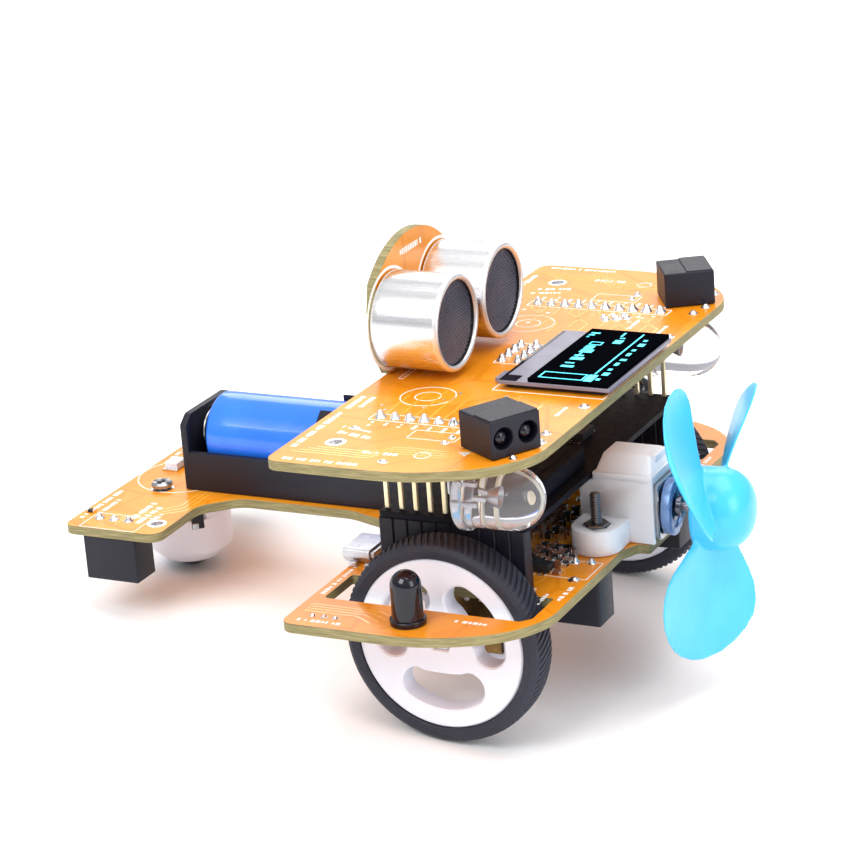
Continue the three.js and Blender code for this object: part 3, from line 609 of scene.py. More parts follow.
# lower board
for _, s in SIDES:
    frame_line(bm, -1.6, 24.5, s * ROW_Y - 1.5, s * ROW_Y + 1.4, 0)
    marks(bm, -6.6, s * 50.6, 7.5, z=0, tall=0.9)
    marks(bm, 17.5, s * 44.4, 5.2, z=0, tall=0.8)
    marks(bm, 29.6, s * 27.0, 6.2, 0, s, 0.8, 0)
    marks(bm, 27.0, s * 30.6, 4.0, 0, s, 0.7, 0)
    frame_line(bm, 20.0, 30.6, s * 20.2 - 3.6, s * 20.2 + 3.6, 0, 0.16)
    for k in range(3):
        marks(bm, -55.2 + 2.0 * k, s * 21.6, 9.0 - 2 * k, 0, -s, 1.1, 0)
    marks(bm, -64.2, s * 8.6, 14.0, 0, s, 1.0, 0)
    marks(bm, -62.2, s * 12.6, 7.0, 0, s, 0.9, 0)
    frame_line(bm, -62.6, -51.6, s * 22.2 - 3.3, s * 22.2 + 3.3, 0, 0.16)
ring_mark(bm, BALL_X, BALL_Y, 8.4, 0, 0.2, 56)
marks(bm, -7.6, -40.5, 12.5, 0, 1, 0.8, 0)
marks(bm, -5.6, -29.4, 6.0, 0, 1, 0.7, 0)
# sonar board, drawn in its own upright plane on the front face
flat = start()
for _, s in SIDES:
    ring_mark(flat, s * SONAR_Y, SONAR_Z, 8.6, 0, 0.5, 56)
marks(flat, -4.2, SONAR_Z + 9.6, 8.0, tall=1.0, z=0)
bmesh.ops.transform(flat, verts=flat.verts, matrix=moved(back + BOARD_T, 0) @ UPRIGHT)
for face in flat.faces:
    bm.faces.new([bm.verts.new(v.co) for v in face.verts])
flat.free()
bmesh.ops.remove_doubles(bm, verts=bm.verts, dist=1e-5)
piece("legend_print", bm, [SILK])

RUN_Z = -0.005          # the runs of the lower board are sunk a little into its face
bm = start()
for _, s in SIDES:
    for k, x in enumerate(PIN_X):
        bend, x_end = ROW_Y - 3.0 - 1.1 * ((k * 7) % 5), x + s * 1.6 + 1.4
        ribbon(bm, [(x, s * ROW_Y), (x, s * bend), (x_end, s * (bend - 2.6)), (x_end, s * (bend - 7.5))],
               0.32, TOP)
        ribbon(bm, [(x, -s * ROW_Y), (x, -s * (ROW_Y - 3.2)), (x + 1.0, -s * (ROW_Y - 4.2)),
                    (x + 1.0, -s * 12.5)], 0.3, RUN_Z)
    for k in range(4):
        y = s * (47.8 - 0.9 * k)
        ribbon(bm, [(-6.5 + k, y), (6.0, y), (9.0, y - s * 3.0), (18.0, y - s * 3.0), (23.0, y - s * 7.2)],
               0.34, TOP)
        rise = 0.9 * k
        ribbon(bm, [(-7.2, s * (44.4 + rise)), (5 - k, s * (44.4 + rise)), (8.2 - k, s * (46.3 + rise))],
               0.34, RUN_Z)
    for k in range(3):
        x = -50.0 + k
        ribbon(bm, [(-57.3, s * (20.2 + k)), (x, s * (12 + k)), (x, s * (6.6 if s > 0 else 3.4))],
               0.36, RUN_Z)
piece("copper_runs", bm, [TRACE])

# Plated holes and bare pads
bm = start()


def plated(x, y, r, z0, z1, lip=0.55):
    """Metal sleeve of a hole, with a flat ring on both faces of the board."""
    lathe(bm, [(r - 0.06, z0 - 0.03), (r + lip, z0 - 0.03), (r + lip, z0 + 0.02), (r + 0.05, z0 + 0.04),
               (r + 0.05, z1 - 0.04), (r + lip, z1 - 0.02), (r + lip, z1 + 0.035), (r - 0.06, z1 + 0.035)],
          24, m=moved(x, y), loop=True)


for x, y in WING_HOLES:
    plated(x, y, 1.14, DECK, TOP)
for _, s in SIDES:
    plated(-49.7, s * 20.9, 1.14, -BOARD_T, 0)
for x, y in TAIL_SCREWS + EARS:
    plated(x, y, 1.12, -BOARD_T, 0, 0.9)
for _, s in SIDES:
    for k in range(9):
        x, y = dice.uniform(-5, 26), s * dice.uniform(16, 28)
        for z in (TOP, 0.0):
            lathe(bm, [(0, 0), (0.34, 0), (0.34, 0.035), (0.16, 0.035), (0.12, 0.01), (0, 0.01)], 14,
                  m=moved(x, y, z))
piece("plated_holes", bm, [SOLDER])

# ---- solder joints ----
bm = start()


def joint(x, y, z, r=0.95, tall=1.15, up=1):
    """Fillet of solder that climbs a pin, a little different each time."""
    r *= dice.uniform(0.9, 1.1)
    tall *= dice.uniform(0.85, 1.12)
    lean = spun(dice.uniform(-0.12, 0.12), "X") @ spun(dice.uniform(-0.12, 0.12), "Y")
    m = moved(x, y, z) @ (Matrix() if up > 0 else spun(pi, "X")) @ lean
    lathe(bm, [(0, -0.12), (r, -0.1), (r, 0.05), (r * 0.86, tall * 0.16), (r * 0.66, tall * 0.40),
               (r * 0.5, tall * 0.66), (r * 0.42, tall * 0.86), (r * 0.26, tall * 0.98), (0, tall)], 18, m=m)


for _, s in SIDES:
    for x in PIN_X:
        joint(x, s * ROW_Y, TOP)
        joint(x, s * ROW_Y, -BOARD_T, up=-1)
    for x, y, r, tall in ((23.1, 39.6, 0.8, 0.7), (22.6, 37.4, 0.8, 0.7), (28.2, 42.3, 0.8, 0.7),
                          (29.4, 34.8, 0.8, 0.7), (28.6, 31.0, 0.9, 0.55), (29.4, 18.0, 0.9, 0.5),
                          (15.2, 36.33, 0.7, 0.5), (15.2, 38.87, 0.7, 0.5)):
        joint(x, s * y, TOP, r, tall)
    for x in (9.4, 12.4):
        joint(x, s * 47.1, -BOARD_T, 0.75, 0.7, -1)
    for k in range(3):
        joint(-61.0 + 2.9 * k, s * 21.2, 0, 0.85, 0.9)
        joint(-4.9 + 2.0 * k, s * 48.8, 0, 0.55, 0.4)
        joint(23.2 + 2.7 * k, s * (16.9 + 0.4 * (k % 2)), 0, 0.85, 0.95)
    joint(28.7, s * 24.2, 0, 0.95, 0.5)
    for k in range(4):
        joint(WHEEL_X - 3.8 + 2.54 * k, s * 8.5, 0, 0.7, 0.6)
for i in range(4):
    for j in range(2):
        joint(6.9 + PITCH * j * 1.15, 0.2 + PITCH * i, TOP, 0.95, 1.25)
for i in range(3):
    joint(15.4 + 1.5 * i, 24.2 + 0.9 * i, TOP, 0.85, 0.6)
    joint(14.4 + 1.5 * i, 25.6 + 0.9 * i, TOP, 0.7, 0.5)
for y in (-3.81, -1.27, 1.27, 3.81):
    joint(SONAR_X + 1.2, y, DECK, 0.85, 0.8, -1)
joint(-1.6, -36.0, TOP, 0.8, 0.4)
joint(9.6, -48.6, TOP, 0.95, 0.4)
piece("solder_joints", bm, [SOLDER], sharp=60)

# ---- small parts on the boards ----
bodies, ends = start(), start()
parts_brown = start()


def chip_part(x, y, z, a=0.0, long=1.6, wide=0.8, tall=0.5, brown=False):
    m = moved(x, y, z) @ spun(a, "Z")
    block(parts_brown if brown else bodies, -long / 2 + 0.3, long / 2 - 0.3, -wide / 2, wide / 2, 0.02, tall,
          0.05, m=m)
    for e in (-1, 1):
        inner, outer = sorted((e * long / 2, e * (long / 2 - 0.32)))
        block(ends, inner, outer, -wide / 2 - 0.02, wide / 2 + 0.02, 0.0, tall + 0.03, 0.06, m=m)


def leaded_chip(x, y, z, w, d, legs, a=0.0, tall=1.3):
    m = moved(x, y, z) @ spun(a, "Z")
    block(bodies, -w / 2, w / 2, -d / 2, d / 2, 0.12, tall, 0.16, m=m)
    for k in range(legs):
        px = (k - (legs - 1) / 2) * (w - 1.0) / max(1, legs - 1)
        for s in (-1, 1):
            lo, hi = sorted((s * (d / 2 - 0.1), s * (d / 2 + 0.9)))
            block(ends, px - 0.2, px + 0.2, lo, hi, 0.0, 0.22, 0.05, m=m)


for _, s in SIDES:
    for k in range(13):
        x = 26.6 - 1.9 * (k % 4) + dice.uniform(-0.3, 0.3)
        y = s * (13.0 + 3.2 * (k // 4) + dice.uniform(-0.5, 0.5))
        if x < 25.2 or abs(y) > 16:
            chip_part(min(x, 25.0), y, 0, dice.choice((0, pi / 2)), dice.uniform(1.6, 2.2), 1.0,
                      dice.uniform(0.5, 0.9), dice.random() < 0.45)
leaded_chip(4.5, -18, 0, 7.0, 4.6, 7, pi / 2)
leaded_chip(21.8, -21.4, 0, 4.0, 3.2, 4, 0.0)
for k in range(6):
    chip_part(-3.2 + 2.1 * k, 21.5 if k % 2 else -13.4, 0, pi / 2)
chip_part(-64.0, -19.0, 0, 0.1, 1.6, 0.9)
chip_part(8.4, -45.2, 0, 1.57, 1.6, 0.9, 0.5, True)
for y in (0, 6.5, -6.5):
    block(bodies, y - 2.2, y + 2.2, SONAR_Z - 2.2, SONAR_Z + 2.2, 0.02, 1.4, 0.15,
          m=moved(back, 0) @ UPRIGHT @ Matrix.Scale(-1, 4, (0, 0, 1)))
def cluster(count, columns, x0, y0, dx, dy, jitter, size, tallness, black):
    """Rows of small parts, a little out of line; one in three is black."""
    for k in range(count):
        x = x0 + dx * (k % columns) + dice.uniform(-jitter, jitter)
        y = y0 + dy * (k // columns) + dice.uniform(-jitter, jitter)
        chip_part(x, y, 0.0, dice.choice((0, pi / 2)), *size, dice.uniform(*tallness), k % 3 != black)


cluster(22, 5, 18.9, -20.4, 1.35, 1.9, 0.2, (1.5, 0.85), (0.7, 1.5), 2)
cluster(30, 6, 9.5, -9.0, 2.1, 2.7, 0.3, (1.7, 1.0), (0.8, 1.8), 1)
piece("surface_parts_black", bodies, [CHIP])
piece("surface_part_ends", ends, [SOLDER])
piece("surface_parts_brown", parts_brown, [BROWN])

bm = start()
block(bm, 13, 18, 18, 26, 0.12, 1.9, 0.2)
lathe(bm, [(0, 1.905), (0.45, 1.905), (0.45, 1.92), (0, 1.92)], 16, m=moved(14.0, 19.2))
piece("driver_chip_case", bm, [CHIP], ["driver_chip"])

# ---- header strips ----
def comb(y):
    """Outline of a ten-pin strip with a shallow groove between its cells."""
    x0 = -PITCH / 2
    near, far = [(x0, y - 1.02)], []
    for k in range(PINS):
        a, b = x0 + k * PITCH, x0 + (k + 1) * PITCH
        near += [(a + 0.22, y - 1.25), (b - 0.22, y - 1.25), (b, y - 1.02)]
        far += [(a, y + 1.02), (a + 0.22, y + 1.25), (b - 0.22, y + 1.25)]
    far.append((x0 + PINS * PITCH, y + 1.02))
    return outline(*near, *far[::-1])


for side, s in SIDES:
    y = s * ROW_Y
    bm = start()
    pits = [(rectangle(x - 0.42, x + 0.42, y - 0.42, y + 0.42, 0.1), 3.0) for x in PIN_X]
    prism(bm, comb(y), GAP, 10.4, blind=pits, edge=0.12)
    piece(f"socket_comb_{side}", bm, [BLACK], [f"socket_strip_{side}"])
    bm = start()
    prism(bm, comb(y), DECK - 2.62, DECK - GAP, edge=0.15)
    piece(f"pin_bar_{side}", bm, [BLACK], [f"pin_strip_{side}"])
    bm = start()
    for x in PIN_X:
        block(bm, x - 0.36, x + 0.36, y - 0.36, y + 0.36, 11.7, TOP + 0.9, 0.1)
        block(bm, x - 0.3, x + 0.3, y - 0.2, y + 0.2, -BOARD_T - 1.1, 0.4, 0.08)
    piece(f"header_pins_{side}", bm, [GOLD_AND_SHEEN])

# controller board between the strips
notched = rounded([[-1.3, -31.75, 1], [25.0, -31.75, 1], [25.0, 31.75, 1], [-1.3, 31.75, 1],
                   [-1.3, 13, 0.5], [5.2, 13, 1], [5.2, -6, 1], [-1.3, -6, 0.5]], 5)
bm = start()
prism(bm, notched, CTRL_Z, CTRL_Z + CTRL_T, edge=0.06)
piece("controller_laminate", bm, [BLACK_BOARD], ["controller_board"])
top_c = CTRL_Z + CTRL_T
bm = start()
prism(bm, rectangle(7.5, 23, -22, -4, 0.8, 4), top_c + GAP, top_c + 3.2, edge=0.3)
prism(bm, rectangle(9.5, 21, -20, -6, 1.0, 4), top_c + 3.2, top_c + 3.32, edge=0.05)
piece("controller_shield", bm, [BLACK_BOARD], ["controller_module"])
bodies, ends = start(), start()
leaded_chip(15, 8, top_c, 6.5, 5.0, 8, 0, 1.5)
leaded_chip(9, 22, top_c, 5.0, 4.0, 5, pi / 2, 1.4)
piece("controller_parts", bodies, [CHIP])
piece("controller_part_ends", ends, [SOLDER])

# ---- sonar cans ----
WIRE_STEP, WIRES = 0.5, 13
for side, s in SIDES:
    m = nose_on(SONAR_X, s * SONAR_Y, SONAR_Z)
    bm = start()
    lathe(bm, [(0, 0.02), (R - 0.5, 0.02), *arc(R - 0.5, 0.52, 0.48, -90, 0, 4),
               (R, 1.5), (R, 4), (R, 8), (R, L - 0.8)], 96, 0, m)
    lathe(bm, [(R, L - 0.8), *arc(R - 0.5, L - 0.5, 0.5, 0, 180, 10), (R - 1.05, L - 1.2),
               (R - 1.05, L - 2.2), (0, L - 2.2)], 96, 1, m)
    bmesh.ops.remove_doubles(bm, verts=bm.verts, dist=1e-4)
    to_can = m.inverted()
    for f in bm.faces:
        local = to_can @ f.calc_center_median()
        if hypot(local.x, local.y) < R - 1.0 and local.z > 5:
            f.material_index = 2
    piece(f"sonar_shell_{side}", bm, [CAN, CAN_RIM, PIT], [f"sonar_can_{side}"])
    # woven grille: wires over and under each other
    bm = start()
    for way in (0, 1):
        for k in range(-WIRES, WIRES + 1):
            off = k * WIRE_STEP
            span = sqrt((R - 1.1) ** 2 - off * off)
            count = int(4 * span / WIRE_STEP)
            path = []
            for i in range(count + 1):
                t = -span + 2 * span * i / count
                lift = 0.07 * cos(pi * t / WIRE_STEP) * (1 if (k + way) % 2 else -1) + L - 1.0
                path.append(m @ Vector((t, off, lift) if way else (off, t, lift)))
            tube(bm, path, 0.13, 4)
    piece(f"sonar_mesh_{side}", bm, [MESH_WIRE], [f"sonar_grille_{side}"], sharp=80)
bm = start()
prism(bm, rectangle(SONAR_X, SONAR_X + 2.5, -5.1, 5.1, 0.3), TOP + GAP, TOP + 1.4, edge=0.12)
piece("sonar_foot", bm, [BLACK], ["sonar_header"])
bm = start()
for y in (-3.81, -1.27, 1.27, 3.81):
    tube(bm, [(SONAR_X + 1.2, y, DECK - 1.0), (SONAR_X + 1.2, y, TOP + 1.7), (SONAR_X + 0.9, y, TOP + 2.0),
              (back - 0.6, y, TOP + 2.0)], 0.32, 8)
piece("sonar_pins", bm, [GOLD_AND_SHEEN])

# ---- display ----
bm = start()
prism(bm, rectangle(13.45, 30.5, -12.35, 12.35, 0.4), TOP + GAP, TOP + 0.78, edge=0.1)
piece("display_pad", bm, [FOAM], ["oled_pad"])
bm = start()
block(bm, 12.45, 31.7, -13.35, 13.35, TOP + 0.87, TOP + 1.5, 0.1)
piece("display_rear_glass", bm, [GLASS_EDGE], ["oled_glass"])
bm = start()
block(bm, 17.6, 31.4, -13.2, 13.2, TOP + 1.52, TOP + 2.2, 0.1)
piece("display_cover_glass", bm, [GLASS_DARK])
bm = start()
block(bm, 12.6, 15.6, -13.2, -10.6, TOP + 1.49, TOP + 1.62, 0.05)
block(bm, 12.5, 13.0, -10.6, 12.6, TOP + 1.49, TOP + 1.58, 0.04)
piece("display_driver", bm, [BLACK_GLOSS])
bm = start()
ribbon(bm, [(11.4, -10.8), (11.4, -7.6), (13.0, -7.6)], 1.2, TOP + 0.3, 0.6)
for k in range(12):
    ribbon(bm, [(11.0, -5.4 + 0.9 * k), (12.4, -5.4 + 0.9 * k)], 0.42, TOP + 0.03, 0.1)
piece("display_tail", bm, [GLASS_EDGE])
# lit elements: cell outline, long lines and plain blocks
bm = start()
LIT = TOP + 2.205


def lit_box(x0, x1, y0, y1):
    prism(bm, rectangle(x0, x1, y0, y1), LIT, LIT + 0.012)


def lit_frame(x0, x1, y0, y1, w=0.22):
    around = rectangle(x0, x1, y0, y1)
    prism(bm, around, LIT, LIT + 0.012, holes=[grown(around, -w)])


lit_frame(19.0, 26.6, -12.3, -9.3, 0.3)
lit_box(26.8, 28.3, -12.5, -9.2)
for k, wide in enumerate((0.9, 0.5, 1.3, 0.6, 1.6, 1.7)):
    lit_box(20.4, 22.6 - 0.6 * (k % 2), -6.6 + 1.9 * k, -6.6 + 1.9 * k + wide)
lit_box(20.9, 21.2, -2.2, 4.6)
lit_frame(20.4, 22.6, 5.0, 6.6, 0.25)
lit_box(27.3, 27.6, -8.8, 11.9)
for k in range(9):
    lit_box(28.6, 29.3 + 0.4 * (k % 3 == 1), -11.6 + 2.5 * k, -10.7 + 2.5 * k + 0.5 * (k % 2))
lit_box(24.0, 25.5, 6.4, 8.2)
lit_box(24.3, 25.2, 9.0, 9.5)
lit_box(24.0, 24.4, 10.0, 12.0)
for k in range(3):
    lit_box(18.5, 18.9 + 0.6 * k, 8.6 + 1.0 * k, 9.2 + 1.0 * k)
piece("display_lit_marks", bm, [PIXELS])

# ---- reflective sensors ----


def sensor(bm, w, d, h, m):
    """Square-cut body on its side: two deep round windows in the face that looks along local z."""
    eyes = [(circle(-w / 4, 0, 1.75, 32), 1.9), (circle(w / 4, 0, 1.75, 32), 1.9)]
    prism(bm, rectangle(-w / 2, w / 2, -h / 2, h / 2, 0.3, 3), -d / 2, d / 2, blind=eyes, edge=0.16, m=m)


def lenses(bm, w, d, m):
    """The domed emitter and receiver at the bottom of a sensor's two windows."""
    for e in (-1, 1):
        lathe(bm, [(0, d / 2 - 1.95), (1.5, d / 2 - 1.95), *arc(0, d / 2 - 1.75, 1.5, 0, 90, 6)[:-1],
                   (0, d / 2 - 0.5)], 28, m=m @ moved(e * w / 4, 0))


for side, s in SIDES:
    crest = moved(26.0 - 1.55, s * 38.4) @ spun(radians(31) * s, "Z")
    lie = moved(0, 0, TOP + GAP + 3.0) @ crest @ UPRIGHT
    bm = start()
    sensor(bm, 9.0, 8.6, 6.0, lie)
    # ridge across the top, in front of a shallow recess
    block(bm, -0.4, 4.1, -4.3, 4.3, TOP + 6.0, TOP + 6.32, 0.1, m=crest)
    piece(f"edge_sensor_{side}", bm, [BLACK], [f"ir_sensor_{side}"])
    bm = start()
    lenses(bm, 9.0, 8.6, lie)
    piece(f"edge_sensor_lenses_{side}", bm, [BLACK_GLOSS])
    for where, x, y in (("front", 25.9, 17.2), ("tail", -57.1, 22.2)):
        bm = start()
        down = moved(x, s * y, -BOARD_T - GAP - 3.95) @ spun(pi, "X")
        sensor(bm, 10.2, 7.9, 5.8, down)
        piece(f"ground_sensor_{where}_{side}", bm, [BLACK],
              replaces=[f"line_sensor_{where}_{side}"])
        bm = start()
        lenses(bm, 10.2, 7.9, down)
        piece(f"ground_sensor_lenses_{where}_{side}", bm, [BLACK_GLOSS])

# ---- lamps and receivers ----
LAMP_X, LAMP_Y, LAMP_Z = 17.4, 37.6, 18.4
for side, s in SIDES:
    m = nose_on(LAMP_X, s * LAMP_Y, LAMP_Z)
    bm = start()
    lathe(bm, [(0, 0), (5.3, 0), *arc(5.3, 0.3, 0.3, -90, 0, 3), *arc(5.3, 1.3, 0.3, 0, 90, 3), (5.04, 1.65),
               (4.98, 2.4), (4.97, 5), *arc(0, 8.25, 4.95, 0, 90, 16)[:-1], (0, 13.2)], 72, m=m)
    piece(f"lamp_lens_{side}", bm, [CLEAR], [f"headlight_{side}"], sharp=50)
    bm = start()
    lathe(bm, [(0, 4.2), (0.8, 4.6), (1.3, 6.2), (1.3, 6.5), (1.15, 6.5), (0.55, 5.0), (0, 5.0)], 28, m=m)
    y = s * LAMP_Y
    for d, a, b, tall in ((-1.27, -0.3, 0.55, 4.6), (1.27, -1.1, -0.8, 5.8)):
        block(bm, d - 0.3, d + 0.3, -0.28, 0.28, -0.1, 2.6, 0.08, m=m)
        blade = outline((2.4, d - 0.3), (2.4, d + 0.3), (tall, d + b), (tall, d + a))
        prism(bm, blade, -0.28, 0.28, edge=0.05, m=moved(LAMP_X, y, LAMP_Z))
        tube(bm, [(LAMP_X - 0.1, y + d, LAMP_Z), (LAMP_X - 1.6, y + d, LAMP_Z),
                  (LAMP_X - 2.0, y + d, LAMP_Z + 0.4), (LAMP_X - 2.0, y + d, TOP + 0.4)], 0.26, 8)
    tube(bm, [(LAMP_X + 4.6, y - 1.0, LAMP_Z), (LAMP_X + 6.4, y - 0.5, LAMP_Z + 0.7),
              (LAMP_X + 5.6, y + 0.2, LAMP_Z + 0.1)], 0.07, 6)
    piece(f"lamp_leads_{side}", bm, [STEEL])
    bm = start()
    m = moved(10.9, s * 47.1)
    lathe(bm, [(0, 0.12), (2.85, 0.12), *arc(2.75, 0.9, 0.15, 0, 90, 3), (2.52, 1.15), (2.5, 1.6), (2.46, 4),
               *arc(0, 6.3, 2.46, 0, 90, 12)[:-1], (0, 8.76)], 48, m=m)
    piece(f"receiver_dome_{side}", bm, [BLACK_GLOSS], [f"receiver_{side}"])

# ---- battery ----
CELL_X0, CELL_Y, CELL_Z = -49.5, 3.5, 8.44
m = nose_on(CELL_X0, CELL_Y, CELL_Z)
bm = start()
lathe(bm, [(5.4, 0.0), (6.2, 0.02), *arc(6.2, 0.8, 0.8, -90, 0, 6), (7.0, 2), (7.0, 4), (6.97, 4.3),
           (6.97, 46.0), *arc(6.3, 46.8, 0.7, 0, 90, 6), (5.0, 47.6), (5.0, 47.45)], 96, 0, m)
piece("cell_sleeve", bm, [WRAP], ["battery_cell"])
bm = start()
lathe(bm, [(0, 0.12), (5.5, 0.12), (5.5, 0.5), (0, 0.5)], 64, 0, m)
lathe(bm, [(0, 46.6), (5.2, 46.6), (5.2, 47.2), (3.0, 47.3), (2.9, 48.9), (2.6, 49.2), (0, 49.2)], 64, 0, m)
piece("cell_ends", bm, [STEEL])
bm = start()
spring = []
for i in range(121):
    t = i / 120
    a = TAU * 4.5 * t
    r = 3.9 - 2.0 * t
    spring.append(m @ Vector((r * cos(a), r * sin(a), -2.3 + 2.05 * t)))
tube(bm, spring, 0.24, 8)
piece("contact_spring", bm, [STEEL], ["contact_rear"])
bm = start()
block(bm, 0.9, 1.5, 0.0, 7.0, 1.5, 11.6, 0.12)
lathe(bm, [(0, -0.3), (1.5, -0.2), (1.2, 0.1), (0, 0.2)], 24, m=nose_on(0.85, CELL_Y, CELL_Z))
piece("contact_plate", bm, [STEEL], ["contact_front"])
bm = start()
block(bm, -62.2, -59.6, 2.8, 6.0, 0.12, 1.5, 0.2)
piece("tail_socket", bm, [WHITE], ["tail_block"])
bm = start()
for e in (-1, 1):
    block(bm, -62.4, -59.4, 4.4 + e * 1.9 - 0.25, 4.4 + e * 1.9 + 0.25, 0.0, 0.4, 0.08)
piece("tail_socket_tabs", bm, [SOLDER])

# ---- USB inlet: folded shell, its mouth to the rear ----
bm = start()
trapezoid = rounded([[-3.75, 2.75, 0.5], [-3.75, 1.4, 0.4], [-2.7, 0.12, 0.4], [2.7, 0.12, 0.4],
                     [3.75, 1.4, 0.4], [3.75, 2.75, 0.5]], 4)
stand = moved(-10.2, -24.6) @ UPRIGHT
prism(bm, trapezoid, 0, 4.9, holes=[grown(trapezoid, -0.32)], edge=0.06, m=stand)
prism(bm, grown(trapezoid, -0.4), 4.6, 5.6, edge=0.06, m=stand)
for x, y in ((-8.6, -26.6), (-8.6, -22.6), (-6.8, -24.6)):
    block(bm, x - 0.7, x + 0.7, y - 0.35, y + 0.35, 2.70, 2.80, 0.04)
for e in (-1, 1):
    block(bm, -8.8, -7.4, -24.6 + e * 4.1 - 0.5, -24.6 + e * 4.1 + 0.5, 0.0, 0.9, 0.15)
    block(bm, -6.0, -5.0, -24.6 + e * 4.0 - 0.5, -24.6 + e * 4.0 + 0.5, 0.0, 0.7, 0.15)
piece("usb_shell", bm, [SATIN], ["usb_inlet"])
bm = start()
block(bm, -10.0, -5.4, -26.3, -22.9, 1.35, 1.95, 0.08)
piece("usb_tongue", bm, [BLACK])

# ---- wheels ----
RIBS, RIB_LEAN = 92, 0.028       # ribs round the tyre, and their lean in radians per millimetre
RIB_SHAPE = ((0.02, 0), (0.50, 0), (0.60, 1), (0.92, 1))     # share of one rib, on the land or in the groove
# The tyre's section, (radius, height from the car's middle, groove depth): tread first, then its inside.
TYRE = [(15.9, 32.75, 0), (16.45, 33.1, 0), (16.75, 33.6, 0.12), (16.95, 34.3, 0.26), (17.0, 35.2, 0.3),
        (17.0, 36.7, 0.3), (16.95, 37.6, 0.26), (16.75, 38.3, 0.12), (16.45, 38.8, 0), (15.9, 39.15, 0),
        (15.7, 39.28, 0), (14.9, 39.3, 0), (14.55, 39.22, 0), (14.32, 39.0, 0), (14.32, 32.9, 0),
        (14.6, 32.68, 0), (15.6, 32.66, 0)]
TRACK = 36              # from the car's middle to the middle of a tyre


def rib_ring(bm, r, h, groove, s):
    """One ring of the tyre: a land and a groove for each rib."""
    points = []
    for k in range(RIBS):
        for share, sunk in RIB_SHAPE:
            a = TAU * (k + share) / RIBS + RIB_LEAN * (h - TRACK) * s
            points.append(((r - groove * sunk) * cos(a), (r - groove * sunk) * sin(a)))
    return ring(bm, points, h)


for side, s in SIDES:
    body = f"wheel_{side}"
    # local z points outwards, away from the car's middle
    out = moved(WHEEL_X, 0, WHEEL_Z) @ spun(-s * pi / 2, "X")
    bm = start()
    rings = [rib_ring(bm, r, h, groove, s) for r, h, groove in TYRE]
    for a, b in zip(rings, rings[1:] + rings[:1]):
        wall(bm, a, b)
    place(bm.verts, out)
    piece(f"tyre_ribbed_{side}", bm, [RUBBER], [f"tyre_{side}"], body, 28)

    # hub: thick web with three kidney windows, rim and boss
    end = ((10.4, 44), (9.0, 50), (7.4, 51), (6.2, 46))
    window = [(11.2, 36 - 6 * i) for i in range(13)] + [(r, -a) for r, a in end]
    window += [(5.0 / cos(radians(a)) ** 0.8, a) for a in range(-36, 37, 9)] + list(end[::-1])
    windows = [softened(outline(*[(r * cos(radians(mid + a)), -s * r * sin(radians(mid + a)))
                                  for r, a in window])) for mid in (30, 150, 270)]
    bm = start()
    shaft_hole = [p for p in circle(0, 0, 1.56, 40) if p.y > -1.05]
    prism(bm, circle(0, 0, 14.2, 120), 35.05, 39.05, holes=windows + [shaft_hole], edge=0.28, m=out)
    lathe(bm, [(14.15, 35.4), (14.2, 33.1), (13.9, 32.8), (13.0, 32.8), (12.7, 33.1), (12.7, 35.2)], 120,
          m=out, loop=True)
    lathe(bm, [(1.56, 35.2), (1.56, 34.1), (1.75, 34.0), (3.1, 34.0), (3.4, 34.3), (3.4, 35.2)], 48, m=out,
          loop=True)
    piece(f"hub_windowed_{side}", bm, [WHITE], [f"hub_{side}"], body)
    bm = start()
    flat_shaft = [p if p.y > -1.0 else Vector((p.x, -1.0)) for p in circle(0, 0, 1.5, 40)]
    prism(bm, flat_shaft, 29.75, 38.7, edge=0.15, m=out)
    piece(f"axle_flat_{side}", bm, [STEEL], [f"axle_{side}"], body)

    # gearbox: two plates on posts with gears between, then the motor can
    face = 29.6
    bm = start()
    for z0 in (face - 1.0, face - 9.0):
        block(bm, -6, 6, -5, 5, z0, z0 + 1.0, 0.2, m=out)
    for px, py in ((-5.0, -4.0), (5.0, 4.0), (-5.0, 4.0), (5.0, -4.0)):
        lathe(bm, [(0, face - 8.2), (0.75, face - 8.2), (0.75, face - 0.8), (0, face - 0.8)], 16,
              m=out @ moved(px, py))
    for gx, gy, gr, gz, teeth in ((0, 0, 4.2, 6.6, 30), (2.4, 2.2, 2.6, 4.6, 20), (-2.2, 1.6, 2.8, 3.0, 22),
                                  (0.4, -2.0, 2.2, 1.6, 18)):
        flanks = [(TAU * (k + f) / teeth, gr - d) for k in range(teeth)
                  for f, d in ((0.1, 0), (0.4, 0), (0.6, 0.3), (0.9, 0.3))]
        prism(bm, outline(*[(gx + r * cos(a), gy + r * sin(a)) for a, r in flanks]),
              face - gz - 0.9, face - gz, m=out)
    # the gear plates take the brass that is darkened as painted shade
    piece(f"gear_train_{side}", bm, [SHADE_DARKENED_BRASS], [f"gearbox_{side}"])
    bm = start()
    prism(bm, rectangle(-6, 6, -5, 5, 2.4, 8), face - 23.9, face - 9.2, edge=0.5, m=out)
    lathe(bm, [(0, face - 24.1), (2.4, face - 24.1), (2.4, face - 23.7), (0, face - 23.7)], 28, m=out)
    piece(f"motor_can_{side}", bm, [STEEL], [f"drive_motor_{side}"])
    bm = start()
    for e in (-1, 1):
        block(bm, e * 3.6 - 0.9, e * 3.6 + 0.9, -0.25, 0.25, face - 24.15, face - 23.6, 0.06, m=out)
    piece(f"motor_tabs_{side}", bm, [GOLD_AND_SHEEN])

